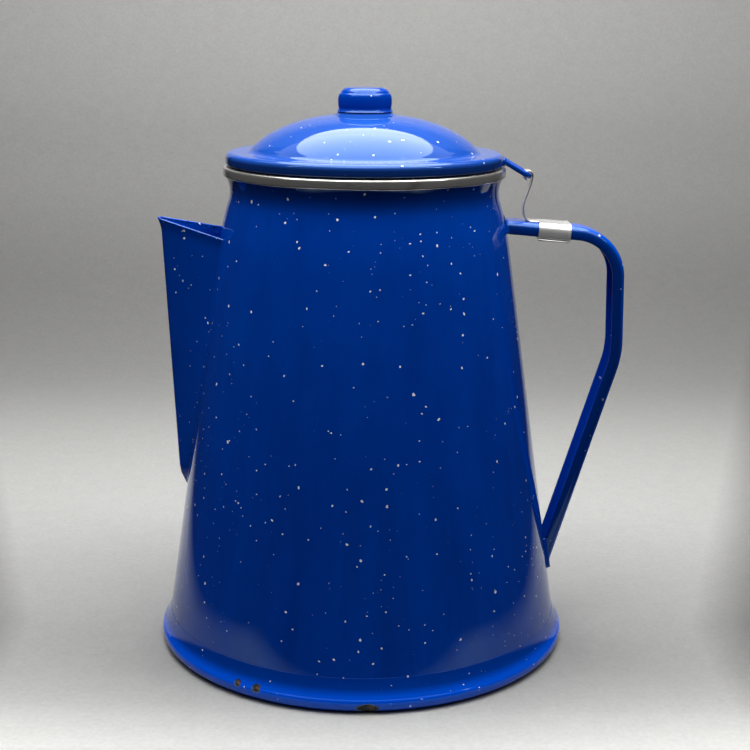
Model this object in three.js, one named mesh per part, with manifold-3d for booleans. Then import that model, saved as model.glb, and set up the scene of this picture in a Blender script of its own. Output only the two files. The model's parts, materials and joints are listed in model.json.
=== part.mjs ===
// Enamelled steel coffee percolator: a flared pot with a V spout and a channel-section strap handle,
// a hinged domed lid, and a loose aluminium pump, basket and spreader inside.
// Millimetres. The origin is where the pot's axis meets the surface it stands on.
// +Z is up, +X points to the handle and -X to the spout.
import * as THREE from "three";
import { mergeVertices } from "three/addons/utils/BufferGeometryUtils.js";
import Module from "manifold-3d";

// ---- Driving dimensions ----
const GAP = 0.3; // between pieces that are welded, crimped or pressed together

const SHELL_WALL = 1.2; // steel with enamel on both faces
const SHELL_FOOT_Z = 1.7;
const CONE_FOOT_R = 87.33; // outer radius of the body at its lower edge
const CONE_SLOPE = 0.1466; // radius lost for each millimetre of height
const SHOULDER_Z = 174; // above this the body rounds inwards to the neck
const THROAT_SLOPE = 0.31; // the taper where the shoulder meets the neck
const NECK_R = 56.85; // the narrowest outer radius
const NECK_Z = 197.8;
const NECK_BEND_R = 13;
const FLARE_ANGLE = THREE.MathUtils.degToRad(33);
const LIP_R = 58.8;
const LIP_TOP_Z = 207.6;
const LIP_DEPTH = 2.2; // the upright part of the lip
const LIP_WALL = 1.45;
const LIP_ROUND = 0.7;

const PAN_FLAT_R = 82;
const PAN_FLOOR_Z = 1.3;
const PAN_EDGE = 0.6; // the foot ring is this thick at its top, and its floor steps in as much
const BEAD_R = 89.6;
const BEAD_Z = 4.2; // where the foot ring is widest
const BEAD_TOP_Z = 14;
const COVE_CORNER = [86.7, 9.5]; // the hollow sweep from the body out to the foot ring
const COVE_END = [88.9, 6.2];

const BAND_R = 59.6;
const BAND_BOTTOM_Z = 204.4;
const BAND_TOP_Z = 208.4;
const BAND_WALL = 0.45;
const BAND_ROUND = 1.2;
const BAND_TURN_IN = 2.2; // how far the band reaches down inside the mouth

const LID_R = 58.5;
const LID_BOTTOM_Z = 209.0;
const LID_LEDGE_Z = 214.2; // the flat ring outside the dome
const LID_CROWN_Z = 231.8; // the small raised seat under the knob
const LID_CROWN_R = 10.9;
const LID_WALL = 1.1;
const LID_SHOULDER_R = 2.6;
const LID_LEDGE_R = 50.2; // inner edge of the ledge
const DOME_FOOT = [47.6, 215.4];
const DOME_TOP = [14.6, 229.3];
const DOME_PULLS = [44.4, 219.3, 34, 227.1]; // the two points that shape the dome's curve
const SKIRT_R = 54.9;
const SKIRT_BOTTOM_Z = 202.2;
const SKIRT_WALL = 0.8;
const SKIRT_FLANGE_R = 50.8;
const KNOB_R = 11.4;
const KNOB_SHOULDER_R = 10.3;
const KNOB_FLAT_R = 6.2;
const KNOB_TOP_Z = 240.8;
const KNOB_WAIST = 3.1; // from the crown up to where the knob is widest
const KNOB_SHOULDER_DROP = 2.3;
const KNOB_WALL = 1;

const SPOUT_WALL = 1.2;
const SPOUT_TOP_Z = 185.8; // height of the pouring tip
const SPOUT_REACH = 80.66; // of the nose line from the axis at the spout's foot
const SPOUT_LEAN = 0.0505; // the nose line leans out by this much for each millimetre of height
const SPOUT_RIM_SLOPE = 0.24; // the rim falls from the tip towards the body
const SPOUT_LOW_Z = 66; // where the spout runs out into the body
const SPOUT_RUN_OUT = 9; // height over which the nose leaves the body
const SPOUT_HALF_WIDTH = 21;
const SPOUT_CLOSE_Z = 118; // below this the two sides draw together
const SPOUT_NOSE_R = 4.5;
const SPOUT_NOSE_SHARE = 0.45; // the nose never takes more of the half width than this
const SPOUT_CLOSE_POWER = 0.8; // how bluntly the two sides draw together
const SPOUT_LIP = 1.7; // how far the pouring lip turns out
const SPOUT_LIP_HEIGHT = 6;

const STRAINER_LOW_Z = 102;
const STRAINER_ROWS = 7;
const STRAINER_ROW_PITCH = 9;
const STRAINER_PITCH = 7;
const STRAINER_HOLE_R = 1.8;

const HANDLE_WIDTH = 16.5;
const HANDLE_DEPTH = 5.5;
const HANDLE_WALL = 1.2;
const HANDLE_CORNER_R = 2.5;
// Corners of the strap's outer face, as [x, z, bend radius], from the neck round to the foot.
const HANDLE_CORNERS = [
  [54, 186.7, 0],
  [110.8, 182.1, 22],
  [112.1, 128, 45],
  [82.1, 28, 0],
];

const HINGE_X = 69.1;
const HINGE_Z = 204.9;
const WIRE_R = 1.2;
const EYE_CLEARANCE = 0.4;
const CLIP_WALL = 0.6;
const TONGUE_WIDTH = 7;
const LOOP_HALF_WIDTH = 5.7;
const LOOP_BEND_R = 2;
const LOOP_START = [59.6, 210.4];
const COLLAR_START_X = 73.9;
const COLLAR_LENGTH = 13.7;
const COLLAR_LOW_BEND = 0.6;
const TONGUE_ROOT_X = 71.8;
const TONGUE_BOW = [67.5, 191.4]; // the furthest point of the tongue's bow towards the pot
const TONGUE_PULL = 3.5; // how far the tongue's curves hold their direction at each end
const EYE_TURN = 1.38 * Math.PI; // how far the tongue rolls round the bar

const TUBE_R = 4.75;
const TUBE_BORE_R = 4;
const TUBE_BOTTOM_Z = 9.5;
const TUBE_TOP_Z = 217;
const FOOT_R = 33;
const FOOT_WALL = 1;
const FOOT_RIM = 1.2;
const FOOT_TOP_Z = 26;
const FOOT_COLLAR_Z = 17;
const FOOT_BELL = [24, 6.5, 15, 13]; // the bell's curve from the rim, as a pull and an end
const FOOT_THROAT = [8, 17.5]; // the pull of the curve from the bell up to the collar
const FOOT_BELL_INSIDE = [13.6, 12, 23, 5.6];
const FOOT_NOTCHES = 6;
const NOTCH_LENGTH = 9;
const NOTCH_WIDTH = 6;
const NOTCH_HEIGHT = 1;
const SHEET = 0.8; // the seat, the basket and the spreader
const SEAT_Z = 5.6;
const SEAT_R = 12.2;
const SEAT_DEPTH = 6.6;
const INLET_R = 3.2;
const VALVE_R = 7;
const VALVE_THICK = 0.8;
const STOP_Z = 138;
const STOP_R = 8;
const STOP_THICK = 2;
const BASKET_R = 42;
const BASKET_TAPER = 2.4; // the basket's mouth is this much wider than its floor
const BASKET_RIM = 1.6;
const BASKET_CORNER_R = 2.5;
const BASKET_BOTTOM_Z = 141;
const BASKET_TOP_Z = 190.5;
const BASKET_HOLE_ROWS = [16, 27]; // radius of each row of holes
const BASKET_HOLE_R = 1.2;
const BASKET_HOLE_PITCH = 12;
const SLEEVE_R = 6.2;
const SLEEVE_DROP = 4; // from the basket's rim down to the sleeve's top
const SPREADER_R = 47;
const SPREADER_RIM = 5.2; // width of the flat rim that rests on the basket
const SPREADER_DEPTH = 2.5;
const SPREADER_COLLAR = 4; // height of the collar above the rim
const SPREADER_HOLE_ROWS = [14, 24, 34];
const SPREADER_HOLE_R = 1.1;
const SPREADER_HOLE_PITCH = 13;

const LARGE_SIDES = 32;
const SMALL_SIDES = 16;
const DRILL_SIDES = 6;
const CURVE_STEPS = 3;

// ---- Materials ----
const enamel = new THREE.MeshStandardMaterial({ color: 0x0b2f8f, roughness: 0.12, metalness: 0 });
const stainless = new THREE.MeshStandardMaterial({ color: 0xb9b6ae, roughness: 0.3, metalness: 1 });
const aluminium = new THREE.MeshStandardMaterial({ color: 0xc4c6c8, roughness: 0.42, metalness: 1 });

// ---- Solids ----
const wasm = await Module();
wasm.setup();

function solidOf(geometry) {
  const bare = geometry.clone();
  bare.deleteAttribute("normal");
  bare.deleteAttribute("uv");
  const merged = mergeVertices(bare, 1e-4);
  return new wasm.Manifold(
    new wasm.Mesh({
      numProp: 3,
      vertProperties: merged.attributes.position.array,
      triVerts: new Uint32Array(merged.index.array),
    }),
  );
}

function geometryOf(solid) {
  const mesh = solid.getMesh();
  const geometry = new THREE.BufferGeometry();
  geometry.setAttribute("position", new THREE.BufferAttribute(mesh.vertProperties, 3));
  geometry.setIndex(new THREE.BufferAttribute(mesh.triVerts, 1));
  geometry.computeVertexNormals();
  return geometry;
}

// Revolves a profile in (radius, height) about the pot's axis. The profile runs up its outer side.
function revolve(path, sides) {
  const geometry = new THREE.LatheGeometry(path.getPoints(CURVE_STEPS), sides);
  geometry.rotateX(Math.PI / 2);
  return solidOf(geometry);
}

// A vertical ring of rectangular section.
function ring(innerR, outerR, bottomZ, topZ, sides) {
  const path = new THREE.Path();
  path.moveTo(innerR, bottomZ);
  path.lineTo(outerR, bottomZ);
  path.lineTo(outerR, topZ);
  path.lineTo(innerR, topZ);
  path.closePath();
  return revolve(path, sides);
}

// A polyline of [x, y, bend radius] corners, each corner turned on an arc of its radius.
function bentPath(corners) {
  const path = new THREE.Path();
  path.moveTo(corners[0][0], corners[0][1]);
  for (let i = 1; i < corners.length - 1; i++) {
    const corner = new THREE.Vector2(corners[i][0], corners[i][1]);
    const radius = corners[i][2];
    const toLast = new THREE.Vector2(corners[i - 1][0], corners[i - 1][1]).sub(corner).normalize();
    const toNext = new THREE.Vector2(corners[i + 1][0], corners[i + 1][1]).sub(corner).normalize();
    const halfAngle = Math.acos(toLast.dot(toNext)) / 2;
    const tangent = radius / Math.tan(halfAngle);
    const enter = corner.clone().addScaledVector(toLast, tangent);
    const leave = corner.clone().addScaledVector(toNext, tangent);
    const bisector = toLast.clone().add(toNext).normalize();
    const centre = corner.clone().addScaledVector(bisector, radius / Math.sin(halfAngle));
    const clockwise = toLast.x * toNext.y - toLast.y * toNext.x > 0;
    const from = Math.atan2(enter.y - centre.y, enter.x - centre.x);
    const to = Math.atan2(leave.y - centre.y, leave.x - centre.x);
    path.lineTo(enter.x, enter.y);
    path.absarc(centre.x, centre.y, radius, from, to, clockwise);
  }
  const last = corners.length - 1;
  path.lineTo(corners[last][0], corners[last][1]);
  return path;
}

// Sweeps a section along a curve that passes through 3-D points.
function sweep(section, points, steps, curveSegments) {
  return solidOf(
    new THREE.ExtrudeGeometry(section, {
      extrudePath: new THREE.CatmullRomCurve3(points, false, "centripetal"),
      steps,
      curveSegments,
    }),
  );
}

// The outer shape of the body, filled in and grown by a margin, used to cut pieces that meet it.
function bodyFill(margin) {
  const path = new THREE.Path();
  path.moveTo(0, 0);
  path.lineTo(bodyRadius(0) + margin, 0);
  path.lineTo(bodyRadius(SHOULDER_Z) + margin, SHOULDER_Z);
  path.quadraticCurveTo(shoulder.x + margin, shoulder.y, throat.x + margin, throat.y);
  path.lineTo(NECK_R + margin, NECK_Z);
  path.lineTo(NECK_R + margin, LIP_TOP_Z);
  path.lineTo(0, LIP_TOP_Z);
  return revolve(path, LARGE_SIDES);
}

// ---- Pot body ----
const coneAngle = Math.atan(CONE_SLOPE);
const throatAngle = Math.atan(THROAT_SLOPE);
const neckCentreR = NECK_R + NECK_BEND_R;

// Outer radius of the body at a height below the neck. Above the shoulder it falls off as a parabola.
function bodyRadius(z) {
  const above = Math.max(z - SHOULDER_Z, 0);
  const extra = (THROAT_SLOPE - CONE_SLOPE) / (2 * (throat.y - SHOULDER_Z));
  return CONE_FOOT_R - CONE_SLOPE * (z - SHELL_FOOT_Z) - extra * above ** 2;
}

// Where the neck's bend begins, on the outer face or on the inner one.
function throatPoint(bendR) {
  const x = neckCentreR - bendR * Math.cos(throatAngle);
  return new THREE.Vector2(x, NECK_Z - bendR * Math.sin(throatAngle));
}

// Where the line of the cone's side meets the line of the throat.
function shoulderPull(coneR, throatEnd) {
  const throatR = throatEnd.x + THROAT_SLOPE * (throatEnd.y - SHOULDER_Z);
  const above = (throatR - coneR) / (THROAT_SLOPE - CONE_SLOPE);
  return new THREE.Vector2(coneR - CONE_SLOPE * above, SHOULDER_Z + above);
}

const throat = throatPoint(NECK_BEND_R);
const shoulder = shoulderPull(CONE_FOOT_R - CONE_SLOPE * (SHOULDER_Z - SHELL_FOOT_Z), throat);

function potShell() {
  const innerR = LIP_R - LIP_WALL;
  const innerBend = NECK_BEND_R + SHELL_WALL;
  const innerFlare = Math.acos((neckCentreR - innerR) / innerBend);
  const innerConeR = bodyRadius(SHOULDER_Z) - SHELL_WALL;
  const innerThroat = throatPoint(innerBend);
  const innerPull = shoulderPull(innerConeR, innerThroat);
  const path = new THREE.Path();
  path.moveTo(CONE_FOOT_R - SHELL_WALL, SHELL_FOOT_Z);
  path.lineTo(CONE_FOOT_R, SHELL_FOOT_Z);
  path.lineTo(bodyRadius(SHOULDER_Z), SHOULDER_Z);
  path.quadraticCurveTo(shoulder.x, shoulder.y, throat.x, throat.y);
  path.absarc(neckCentreR, NECK_Z, NECK_BEND_R, Math.PI + throatAngle, Math.PI - FLARE_ANGLE, true);
  path.lineTo(LIP_R, LIP_TOP_Z - LIP_DEPTH);
  path.lineTo(LIP_R, LIP_TOP_Z - LIP_ROUND);
  path.quadraticCurveTo(LIP_R, LIP_TOP_Z, LIP_R - LIP_ROUND, LIP_TOP_Z);
  path.quadraticCurveTo(innerR, LIP_TOP_Z, innerR, LIP_TOP_Z - LIP_ROUND);
  path.absarc(neckCentreR, NECK_Z, innerBend, Math.PI - innerFlare, Math.PI + throatAngle, false);
  path.quadraticCurveTo(innerPull.x, innerPull.y, innerConeR, SHOULDER_Z);
  path.closePath();
  return revolve(path, LARGE_SIDES);
}

// Strainer holes through the wall behind the spout, in rows that follow the spout's width.
function strainerHoles() {
  const holes = [];
  for (let row = 0; row < STRAINER_ROWS; row++) {
    const z = STRAINER_LOW_Z + row * STRAINER_ROW_PITCH;
    const count = row === 0 ? 1 : row % 2 === 0 ? 3 : 4;
    for (let i = 0; i < count; i++) {
      const y = (i - (count - 1) / 2) * STRAINER_PITCH;
      const length = 10 * SHELL_WALL;
      const drill = new THREE.CylinderGeometry(STRAINER_HOLE_R, STRAINER_HOLE_R, length, DRILL_SIDES);
      drill.rotateZ(Math.PI / 2);
      drill.translate(-bodyRadius(z), y, z);
      holes.push(solidOf(drill));
    }
  }
  return wasm.Manifold.union(holes);
}

function basePan() {
  const rimInnerR = bodyRadius(BEAD_TOP_Z) + GAP;
  const rimFootR = CONE_FOOT_R + GAP;
  const path = new THREE.Path();
  path.moveTo(0, 0);
  path.lineTo(PAN_FLAT_R, 0);
  path.quadraticCurveTo(BEAD_R, 0, BEAD_R, BEAD_Z);
  path.quadraticCurveTo(BEAD_R, COVE_END[1] - PAN_EDGE, ...COVE_END);
  path.quadraticCurveTo(...COVE_CORNER, rimInnerR + PAN_EDGE, BEAD_TOP_Z);
  path.lineTo(rimInnerR, BEAD_TOP_Z);
  path.lineTo(rimFootR, SHELL_FOOT_Z);
  path.lineTo(rimFootR - PAN_EDGE, PAN_FLOOR_Z);
  path.lineTo(0, PAN_FLOOR_Z);
  return revolve(path, LARGE_SIDES);
}

// The bright metal band crimped over the mouth.
function rimBand() {
  const innerR = LIP_R - LIP_WALL - GAP - BAND_WALL;
  const roofZ = BAND_TOP_Z - BAND_WALL;
  const path = new THREE.Path();
  path.moveTo(BAND_R - BAND_WALL, BAND_BOTTOM_Z);
  path.quadraticCurveTo(BAND_R, BAND_BOTTOM_Z, BAND_R, BAND_BOTTOM_Z + BAND_ROUND);
  path.lineTo(BAND_R, BAND_TOP_Z - BAND_ROUND);
  path.quadraticCurveTo(BAND_R, BAND_TOP_Z, BAND_R - BAND_ROUND, BAND_TOP_Z);
  path.lineTo(innerR + BAND_WALL, BAND_TOP_Z);
  path.quadraticCurveTo(innerR, BAND_TOP_Z, innerR, BAND_TOP_Z - BAND_WALL);
  path.lineTo(innerR, BAND_TOP_Z - BAND_TURN_IN);
  path.lineTo(innerR + BAND_WALL, BAND_TOP_Z - BAND_TURN_IN);
  path.lineTo(innerR + BAND_WALL, roofZ);
  path.lineTo(BAND_R - BAND_WALL, roofZ);
  path.closePath();
  return revolve(path, LARGE_SIDES);
}

// ---- Spout ----
// Distance of the spout's nose from the pot's axis at a height.
function noseReach(z) {
  const straight = SPOUT_REACH + SPOUT_LEAN * (z - SPOUT_LOW_Z);
  const runOut = THREE.MathUtils.clamp((z - SPOUT_LOW_Z) / SPOUT_RUN_OUT, 0, 1);
  const buried = bodyRadius(z) - GAP;
  return buried + (straight - buried) * Math.sin((runOut * Math.PI) / 2);
}

function spoutHalfWidth(z) {
  const closing = THREE.MathUtils.clamp((SPOUT_CLOSE_Z - z) / (SPOUT_CLOSE_Z - SPOUT_LOW_Z + 1), 0, 1);
  return SPOUT_HALF_WIDTH * (1 - closing ** 2) ** SPOUT_CLOSE_POWER;
}

// The outline of one spout section as points with outward normals, from one side round the nose.
function spoutOutline(z) {
  const ARC_STEPS = 4;
  const SIDE_STEPS = 2;
  const SUNK = 4; // the sides end inside the body, where they are cut off
  const halfWidth = spoutHalfWidth(z);
  const noseR = Math.min(SPOUT_NOSE_R, SPOUT_NOSE_SHARE * halfWidth);
  const centreX = -(noseReach(z) - noseR);
  const jointX = SUNK - Math.sqrt(bodyRadius(z) ** 2 - halfWidth ** 2);
  const along = new THREE.Vector2(jointX - centreX, halfWidth);
  const lean = Math.acos(noseR / along.length());
  const sideNormal = Math.atan2(along.y, along.x) + lean;
  const touch = new THREE.Vector2(Math.cos(sideNormal), Math.sin(sideNormal)).multiplyScalar(noseR);
  const half = [];
  for (let i = 0; i < SIDE_STEPS; i++) {
    const side = along.clone().lerp(touch, i / SIDE_STEPS);
    half.push([centreX + side.x, side.y, sideNormal]);
  }
  for (let i = 0; i <= ARC_STEPS; i++) {
    const angle = sideNormal + ((Math.PI - sideNormal) * i) / ARC_STEPS;
    half.push([centreX + noseR * Math.cos(angle), noseR * Math.sin(angle), angle]);
  }
  const mirrored = half.slice(0, -1).reverse();
  const outline = half.concat(mirrored.map(([x, y, angle]) => [x, -y, -angle]));
  return outline.map(([x, y, angle]) => ({ x, y, nx: Math.cos(angle), ny: Math.sin(angle) }));
}

// One skin of the spout, as rows of points. A row's plane tips towards the slope of the rim.
function spoutSkin(lowZ, inset) {
  const ROWS = 14;
  const rows = [];
  for (let i = 0; i <= ROWS; i++) {
    const height = lowZ + (SPOUT_TOP_Z - lowZ) * (1 - (1 - i / ROWS) ** 1.25);
    const tip = ((height - SPOUT_LOW_Z) / (SPOUT_TOP_Z - SPOUT_LOW_Z)) ** 2;
    const flare = Math.max(0, 1 - (SPOUT_TOP_Z - height) / SPOUT_LIP_HEIGHT) ** 2;
    rows.push(
      spoutOutline(height).map(({ x, y, nx, ny }) => {
        const outward = flare * SPOUT_LIP * Math.max(0.5, -nx) - inset;
        const px = x + nx * outward;
        const z = height - SPOUT_RIM_SLOPE * tip * (px + noseReach(height));
        return new THREE.Vector3(px, y + ny * outward, z);
      }),
    );
  }
  return rows;
}

// A closed solid between two open skins with the same rows and columns.
function solidBetween(outer, inner) {
  const positions = [];
  const columns = outer[0].length;
  const rows = outer.length;
  const quad = (a, b, c, d) => [a, c, b, a, d, c].forEach((p) => positions.push(p.x, p.y, p.z));
  for (let i = 0; i < rows - 1; i++) {
    for (let j = 0; j < columns - 1; j++) {
      quad(outer[i][j], outer[i + 1][j], outer[i + 1][j + 1], outer[i][j + 1]);
      quad(inner[i][j], inner[i][j + 1], inner[i + 1][j + 1], inner[i + 1][j]);
    }
    const end = columns - 1;
    quad(outer[i][0], inner[i][0], inner[i + 1][0], outer[i + 1][0]);
    quad(outer[i][end], outer[i + 1][end], inner[i + 1][end], inner[i][end]);
  }
  const top = rows - 1;
  for (let j = 0; j < columns - 1; j++) {
    quad(outer[top][j], inner[top][j], inner[top][j + 1], outer[top][j + 1]);
    quad(outer[0][j], outer[0][j + 1], inner[0][j + 1], inner[0][j]);
  }
  const geometry = new THREE.BufferGeometry();
  geometry.setAttribute("position", new THREE.Float32BufferAttribute(positions, 3));
  return solidOf(geometry);
}

function spout() {
  const whole = solidBetween(spoutSkin(SPOUT_LOW_Z, 0), spoutSkin(SPOUT_LOW_Z + SPOUT_RUN_OUT, SPOUT_WALL));
  return whole.subtract(bodyFill(GAP));
}

// ---- Handle ----
// A channel open towards the pot: x across the strap, y from its outer face inwards.
function channelSection() {
  const half = HANDLE_WIDTH / 2;
  const innerHalf = half - HANDLE_WALL;
  const bend = HANDLE_CORNER_R;
  const innerBend = bend - HANDLE_WALL;
  const section = new THREE.Shape();
  section.moveTo(-half, HANDLE_DEPTH);
  section.lineTo(-half, bend);
  section.absarc(-half + bend, bend, bend, Math.PI, 1.5 * Math.PI, false);
  section.lineTo(half - bend, 0);
  section.absarc(half - bend, bend, bend, 1.5 * Math.PI, 2 * Math.PI, false);
  section.lineTo(half, HANDLE_DEPTH);
  section.lineTo(innerHalf, HANDLE_DEPTH);
  section.lineTo(innerHalf, bend);
  section.absarc(half - bend, bend, innerBend, 0, -0.5 * Math.PI, true);
  section.lineTo(-half + bend, HANDLE_WALL);
  section.absarc(-half + bend, bend, innerBend, 1.5 * Math.PI, Math.PI, true);
  section.lineTo(-innerHalf, HANDLE_DEPTH);
  section.closePath();
  return section;
}

function handle() {
  const outerFace = bentPath(HANDLE_CORNERS).getSpacedPoints(48);
  const points = outerFace.map((p) => new THREE.Vector3(p.x, 0, p.y));
  return sweep(channelSection(), points, 30, 2).subtract(bodyFill(GAP));
}

// ---- Lid hinge ----
// A flat strip that follows a path in the XZ plane, centred on Y.
function strip(path, wall, width, steps) {
  const centre = path.getSpacedPoints(steps);
  const sides = [[], []];
  centre.forEach((p, i) => {
    const before = centre[Math.max(i - 1, 0)];
    const after = centre[Math.min(i + 1, centre.length - 1)];
    const normal = new THREE.Vector2(before.y - after.y, after.x - before.x).setLength(wall / 2);
    sides[0].push(p.clone().add(normal));
    sides[1].push(p.clone().sub(normal));
  });
  const outline = new THREE.Shape(sides[0].concat(sides[1].reverse()));
  const geometry = new THREE.ExtrudeGeometry(outline, { depth: width, bevelEnabled: false });
  geometry.translate(0, 0, -width / 2);
  geometry.rotateX(Math.PI / 2);
  return solidOf(geometry);
}

// The sheet clip: a collar folded round the handle, and a tongue that rolls into the hinge eye.
function hingeClip() {
  const [from, to] = HANDLE_CORNERS;
  const fall = Math.atan2(from[1] - to[1], to[0] - from[0]);
  const handleTopZ = from[1] - Math.tan(fall) * (COLLAR_START_X - from[0]);
  const insideTop = GAP;
  const insideBottom = -HANDLE_DEPTH - GAP;
  const insideHalf = HANDLE_WIDTH / 2 + GAP;
  const cornerR = HANDLE_CORNER_R + GAP;
  const outline = (grow) => {
    const top = insideTop + grow;
    const bottom = insideBottom - grow;
    const half = insideHalf + grow;
    const bend = cornerR + grow;
    const lowBend = COLLAR_LOW_BEND + grow;
    const shape = new THREE.Shape();
    shape.moveTo(-half + lowBend, bottom);
    shape.lineTo(half - lowBend, bottom);
    shape.absarc(half - lowBend, bottom + lowBend, lowBend, -0.5 * Math.PI, 0, false);
    shape.lineTo(half, top - bend);
    shape.absarc(half - bend, top - bend, bend, 0, 0.5 * Math.PI, false);
    shape.lineTo(-half + bend, top);
    shape.absarc(-half + bend, top - bend, bend, 0.5 * Math.PI, Math.PI, false);
    shape.lineTo(-half, bottom + lowBend);
    shape.absarc(-half + lowBend, bottom + lowBend, lowBend, Math.PI, 1.5 * Math.PI, false);
    return shape;
  };
  const sleeve = outline(CLIP_WALL);
  sleeve.holes.push(outline(0));
  const wrap = new THREE.ExtrudeGeometry(sleeve, {
    depth: COLLAR_LENGTH,
    bevelEnabled: false,
    curveSegments: 3,
  });
  const seam = new THREE.BoxGeometry(insideHalf * 1.5, 2 * CLIP_WALL, COLLAR_LENGTH - GAP);
  seam.translate(0, insideBottom - 1.5 * CLIP_WALL, COLLAR_LENGTH / 2);
  const placed = [wrap, seam].map((geometry) => {
    geometry.rotateX(Math.PI / 2);
    geometry.rotateZ(Math.PI / 2);
    geometry.rotateY(fall);
    geometry.translate(COLLAR_START_X, 0, handleTopZ);
    return solidOf(geometry);
  });
  const eyeR = WIRE_R + EYE_CLEARANCE + CLIP_WALL / 2;
  const rootZ = handleTopZ + GAP + CLIP_WALL / 2;
  const path = new THREE.Path();
  const [bowX, bowZ] = TONGUE_BOW;
  const rollX = HINGE_X + eyeR;
  path.moveTo(COLLAR_START_X + HANDLE_CORNER_R, rootZ - HANDLE_CORNER_R * Math.tan(fall));
  path.lineTo(TONGUE_ROOT_X, rootZ);
  path.bezierCurveTo(TONGUE_ROOT_X - TONGUE_PULL, rootZ, bowX, bowZ - TONGUE_PULL, bowX, bowZ);
  path.bezierCurveTo(bowX, bowZ + TONGUE_PULL, rollX, HINGE_Z - TONGUE_PULL, rollX, HINGE_Z);
  path.absarc(HINGE_X, HINGE_Z, eyeR, 0, EYE_TURN, false);
  const tongue = strip(path, CLIP_WALL, TONGUE_WIDTH, 44);
  return wasm.Manifold.union([...placed, tongue]);
}

// The wire loop welded to the lid's rim: two legs and the bar that the hinge eye holds.
function hingeLoop() {
  const legX = HINGE_X - LOOP_START[0];
  const legZ = HINGE_Z - LOOP_START[1];
  const legLength = Math.hypot(legX, legZ);
  const bent = bentPath([
    [0, -LOOP_HALF_WIDTH, 0],
    [legLength, -LOOP_HALF_WIDTH, LOOP_BEND_R],
    [legLength, LOOP_HALF_WIDTH, LOOP_BEND_R],
    [0, LOOP_HALF_WIDTH, 0],
  ]);
  const points = bent.getSpacedPoints(40).map((p) => {
    const share = p.x / legLength;
    return new THREE.Vector3(LOOP_START[0] + legX * share, p.y, LOOP_START[1] + legZ * share);
  });
  const section = new THREE.Shape();
  section.absarc(0, 0, WIRE_R, 0, 2 * Math.PI, false);
  return sweep(section, points, 26, 5);
}

// ---- Lid ----
function lidShell() {
  const wall = LID_WALL;
  const round = LID_SHOULDER_R;
  const innerR = LID_R - wall;
  const ceilingZ = LID_LEDGE_Z - wall;
  const [footR, footZ] = DOME_FOOT;
  const [topR, topZ] = DOME_TOP;
  const [lowPullR, lowPullZ, highPullR, highPullZ] = DOME_PULLS;
  const path = new THREE.Path();
  path.moveTo(0, LID_CROWN_Z - wall);
  path.lineTo(LID_CROWN_R - wall, LID_CROWN_Z - wall);
  path.quadraticCurveTo(LID_CROWN_R, topZ - wall, topR, topZ - wall);
  path.bezierCurveTo(highPullR, highPullZ - wall, lowPullR - wall, lowPullZ, footR - wall, footZ);
  path.quadraticCurveTo(footR, ceilingZ, LID_LEDGE_R, ceilingZ);
  path.lineTo(LID_R - round, ceilingZ);
  path.quadraticCurveTo(innerR, ceilingZ, innerR, LID_LEDGE_Z - round);
  path.lineTo(innerR, LID_BOTTOM_Z + wall / 2);
  path.quadraticCurveTo(LID_R - wall / 2, LID_BOTTOM_Z - wall / 2, LID_R, LID_BOTTOM_Z + wall / 2);
  path.lineTo(LID_R, LID_LEDGE_Z - round);
  path.absarc(LID_R - round, LID_LEDGE_Z - round, round, 0, Math.PI / 2, false);
  path.lineTo(LID_LEDGE_R, LID_LEDGE_Z);
  path.quadraticCurveTo(footR + wall, LID_LEDGE_Z, footR, footZ);
  path.bezierCurveTo(...DOME_PULLS, topR, topZ);
  path.quadraticCurveTo(LID_CROWN_R + wall / 2, topZ + wall / 2, LID_CROWN_R, LID_CROWN_Z);
  path.lineTo(0, LID_CROWN_Z);
  return revolve(path, LARGE_SIDES);
}

// The locating ring under the lid, with a flange that is spot-welded to the ledge.
function lidSkirt() {
  const flangeZ = LID_LEDGE_Z - LID_WALL - GAP;
  const path = new THREE.Path();
  path.moveTo(SKIRT_R - SKIRT_WALL, SKIRT_BOTTOM_Z);
  path.lineTo(SKIRT_R, SKIRT_BOTTOM_Z);
  path.lineTo(SKIRT_R, flangeZ - SKIRT_WALL);
  path.quadraticCurveTo(SKIRT_R, flangeZ, SKIRT_R - SKIRT_WALL, flangeZ);
  path.lineTo(SKIRT_FLANGE_R, flangeZ);
  path.lineTo(SKIRT_FLANGE_R, flangeZ - SKIRT_WALL);
  path.lineTo(SKIRT_R - SKIRT_WALL, flangeZ - SKIRT_WALL);
  path.closePath();
  return revolve(path, LARGE_SIDES);
}

// The hollow pressed knob, open underneath: widest low down, and drawn in a little at its foot.
function lidKnob() {
  const waistZ = LID_CROWN_Z + KNOB_WAIST;
  const footZ = LID_CROWN_Z + GAP;
  const skinAt = (inset) => ({
    widest: KNOB_R - inset,
    crownZ: KNOB_TOP_Z - inset,
    shoulderR: KNOB_SHOULDER_R - inset,
    shoulderZ: KNOB_TOP_Z - KNOB_SHOULDER_DROP - inset / 2,
  });
  const inner = skinAt(KNOB_WALL);
  const outer = skinAt(0);
  const path = new THREE.Path();
  path.moveTo(0, inner.crownZ);
  path.lineTo(KNOB_FLAT_R, inner.crownZ);
  path.quadraticCurveTo(inner.shoulderR - KNOB_WALL, inner.crownZ, inner.shoulderR, inner.shoulderZ);
  path.quadraticCurveTo(inner.widest, waistZ + KNOB_WAIST, inner.widest, waistZ);
  path.lineTo(inner.widest - KNOB_WALL / 2, footZ);
  path.lineTo(outer.widest - KNOB_WALL / 2, footZ);
  path.quadraticCurveTo(outer.widest, footZ + KNOB_WALL, outer.widest, waistZ);
  path.quadraticCurveTo(outer.widest, waistZ + KNOB_WAIST, outer.shoulderR, outer.shoulderZ);
  path.quadraticCurveTo(outer.shoulderR - KNOB_WALL, outer.crownZ, KNOB_FLAT_R, outer.crownZ);
  path.lineTo(0, outer.crownZ);
  return revolve(path, SMALL_SIDES);
}

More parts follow.
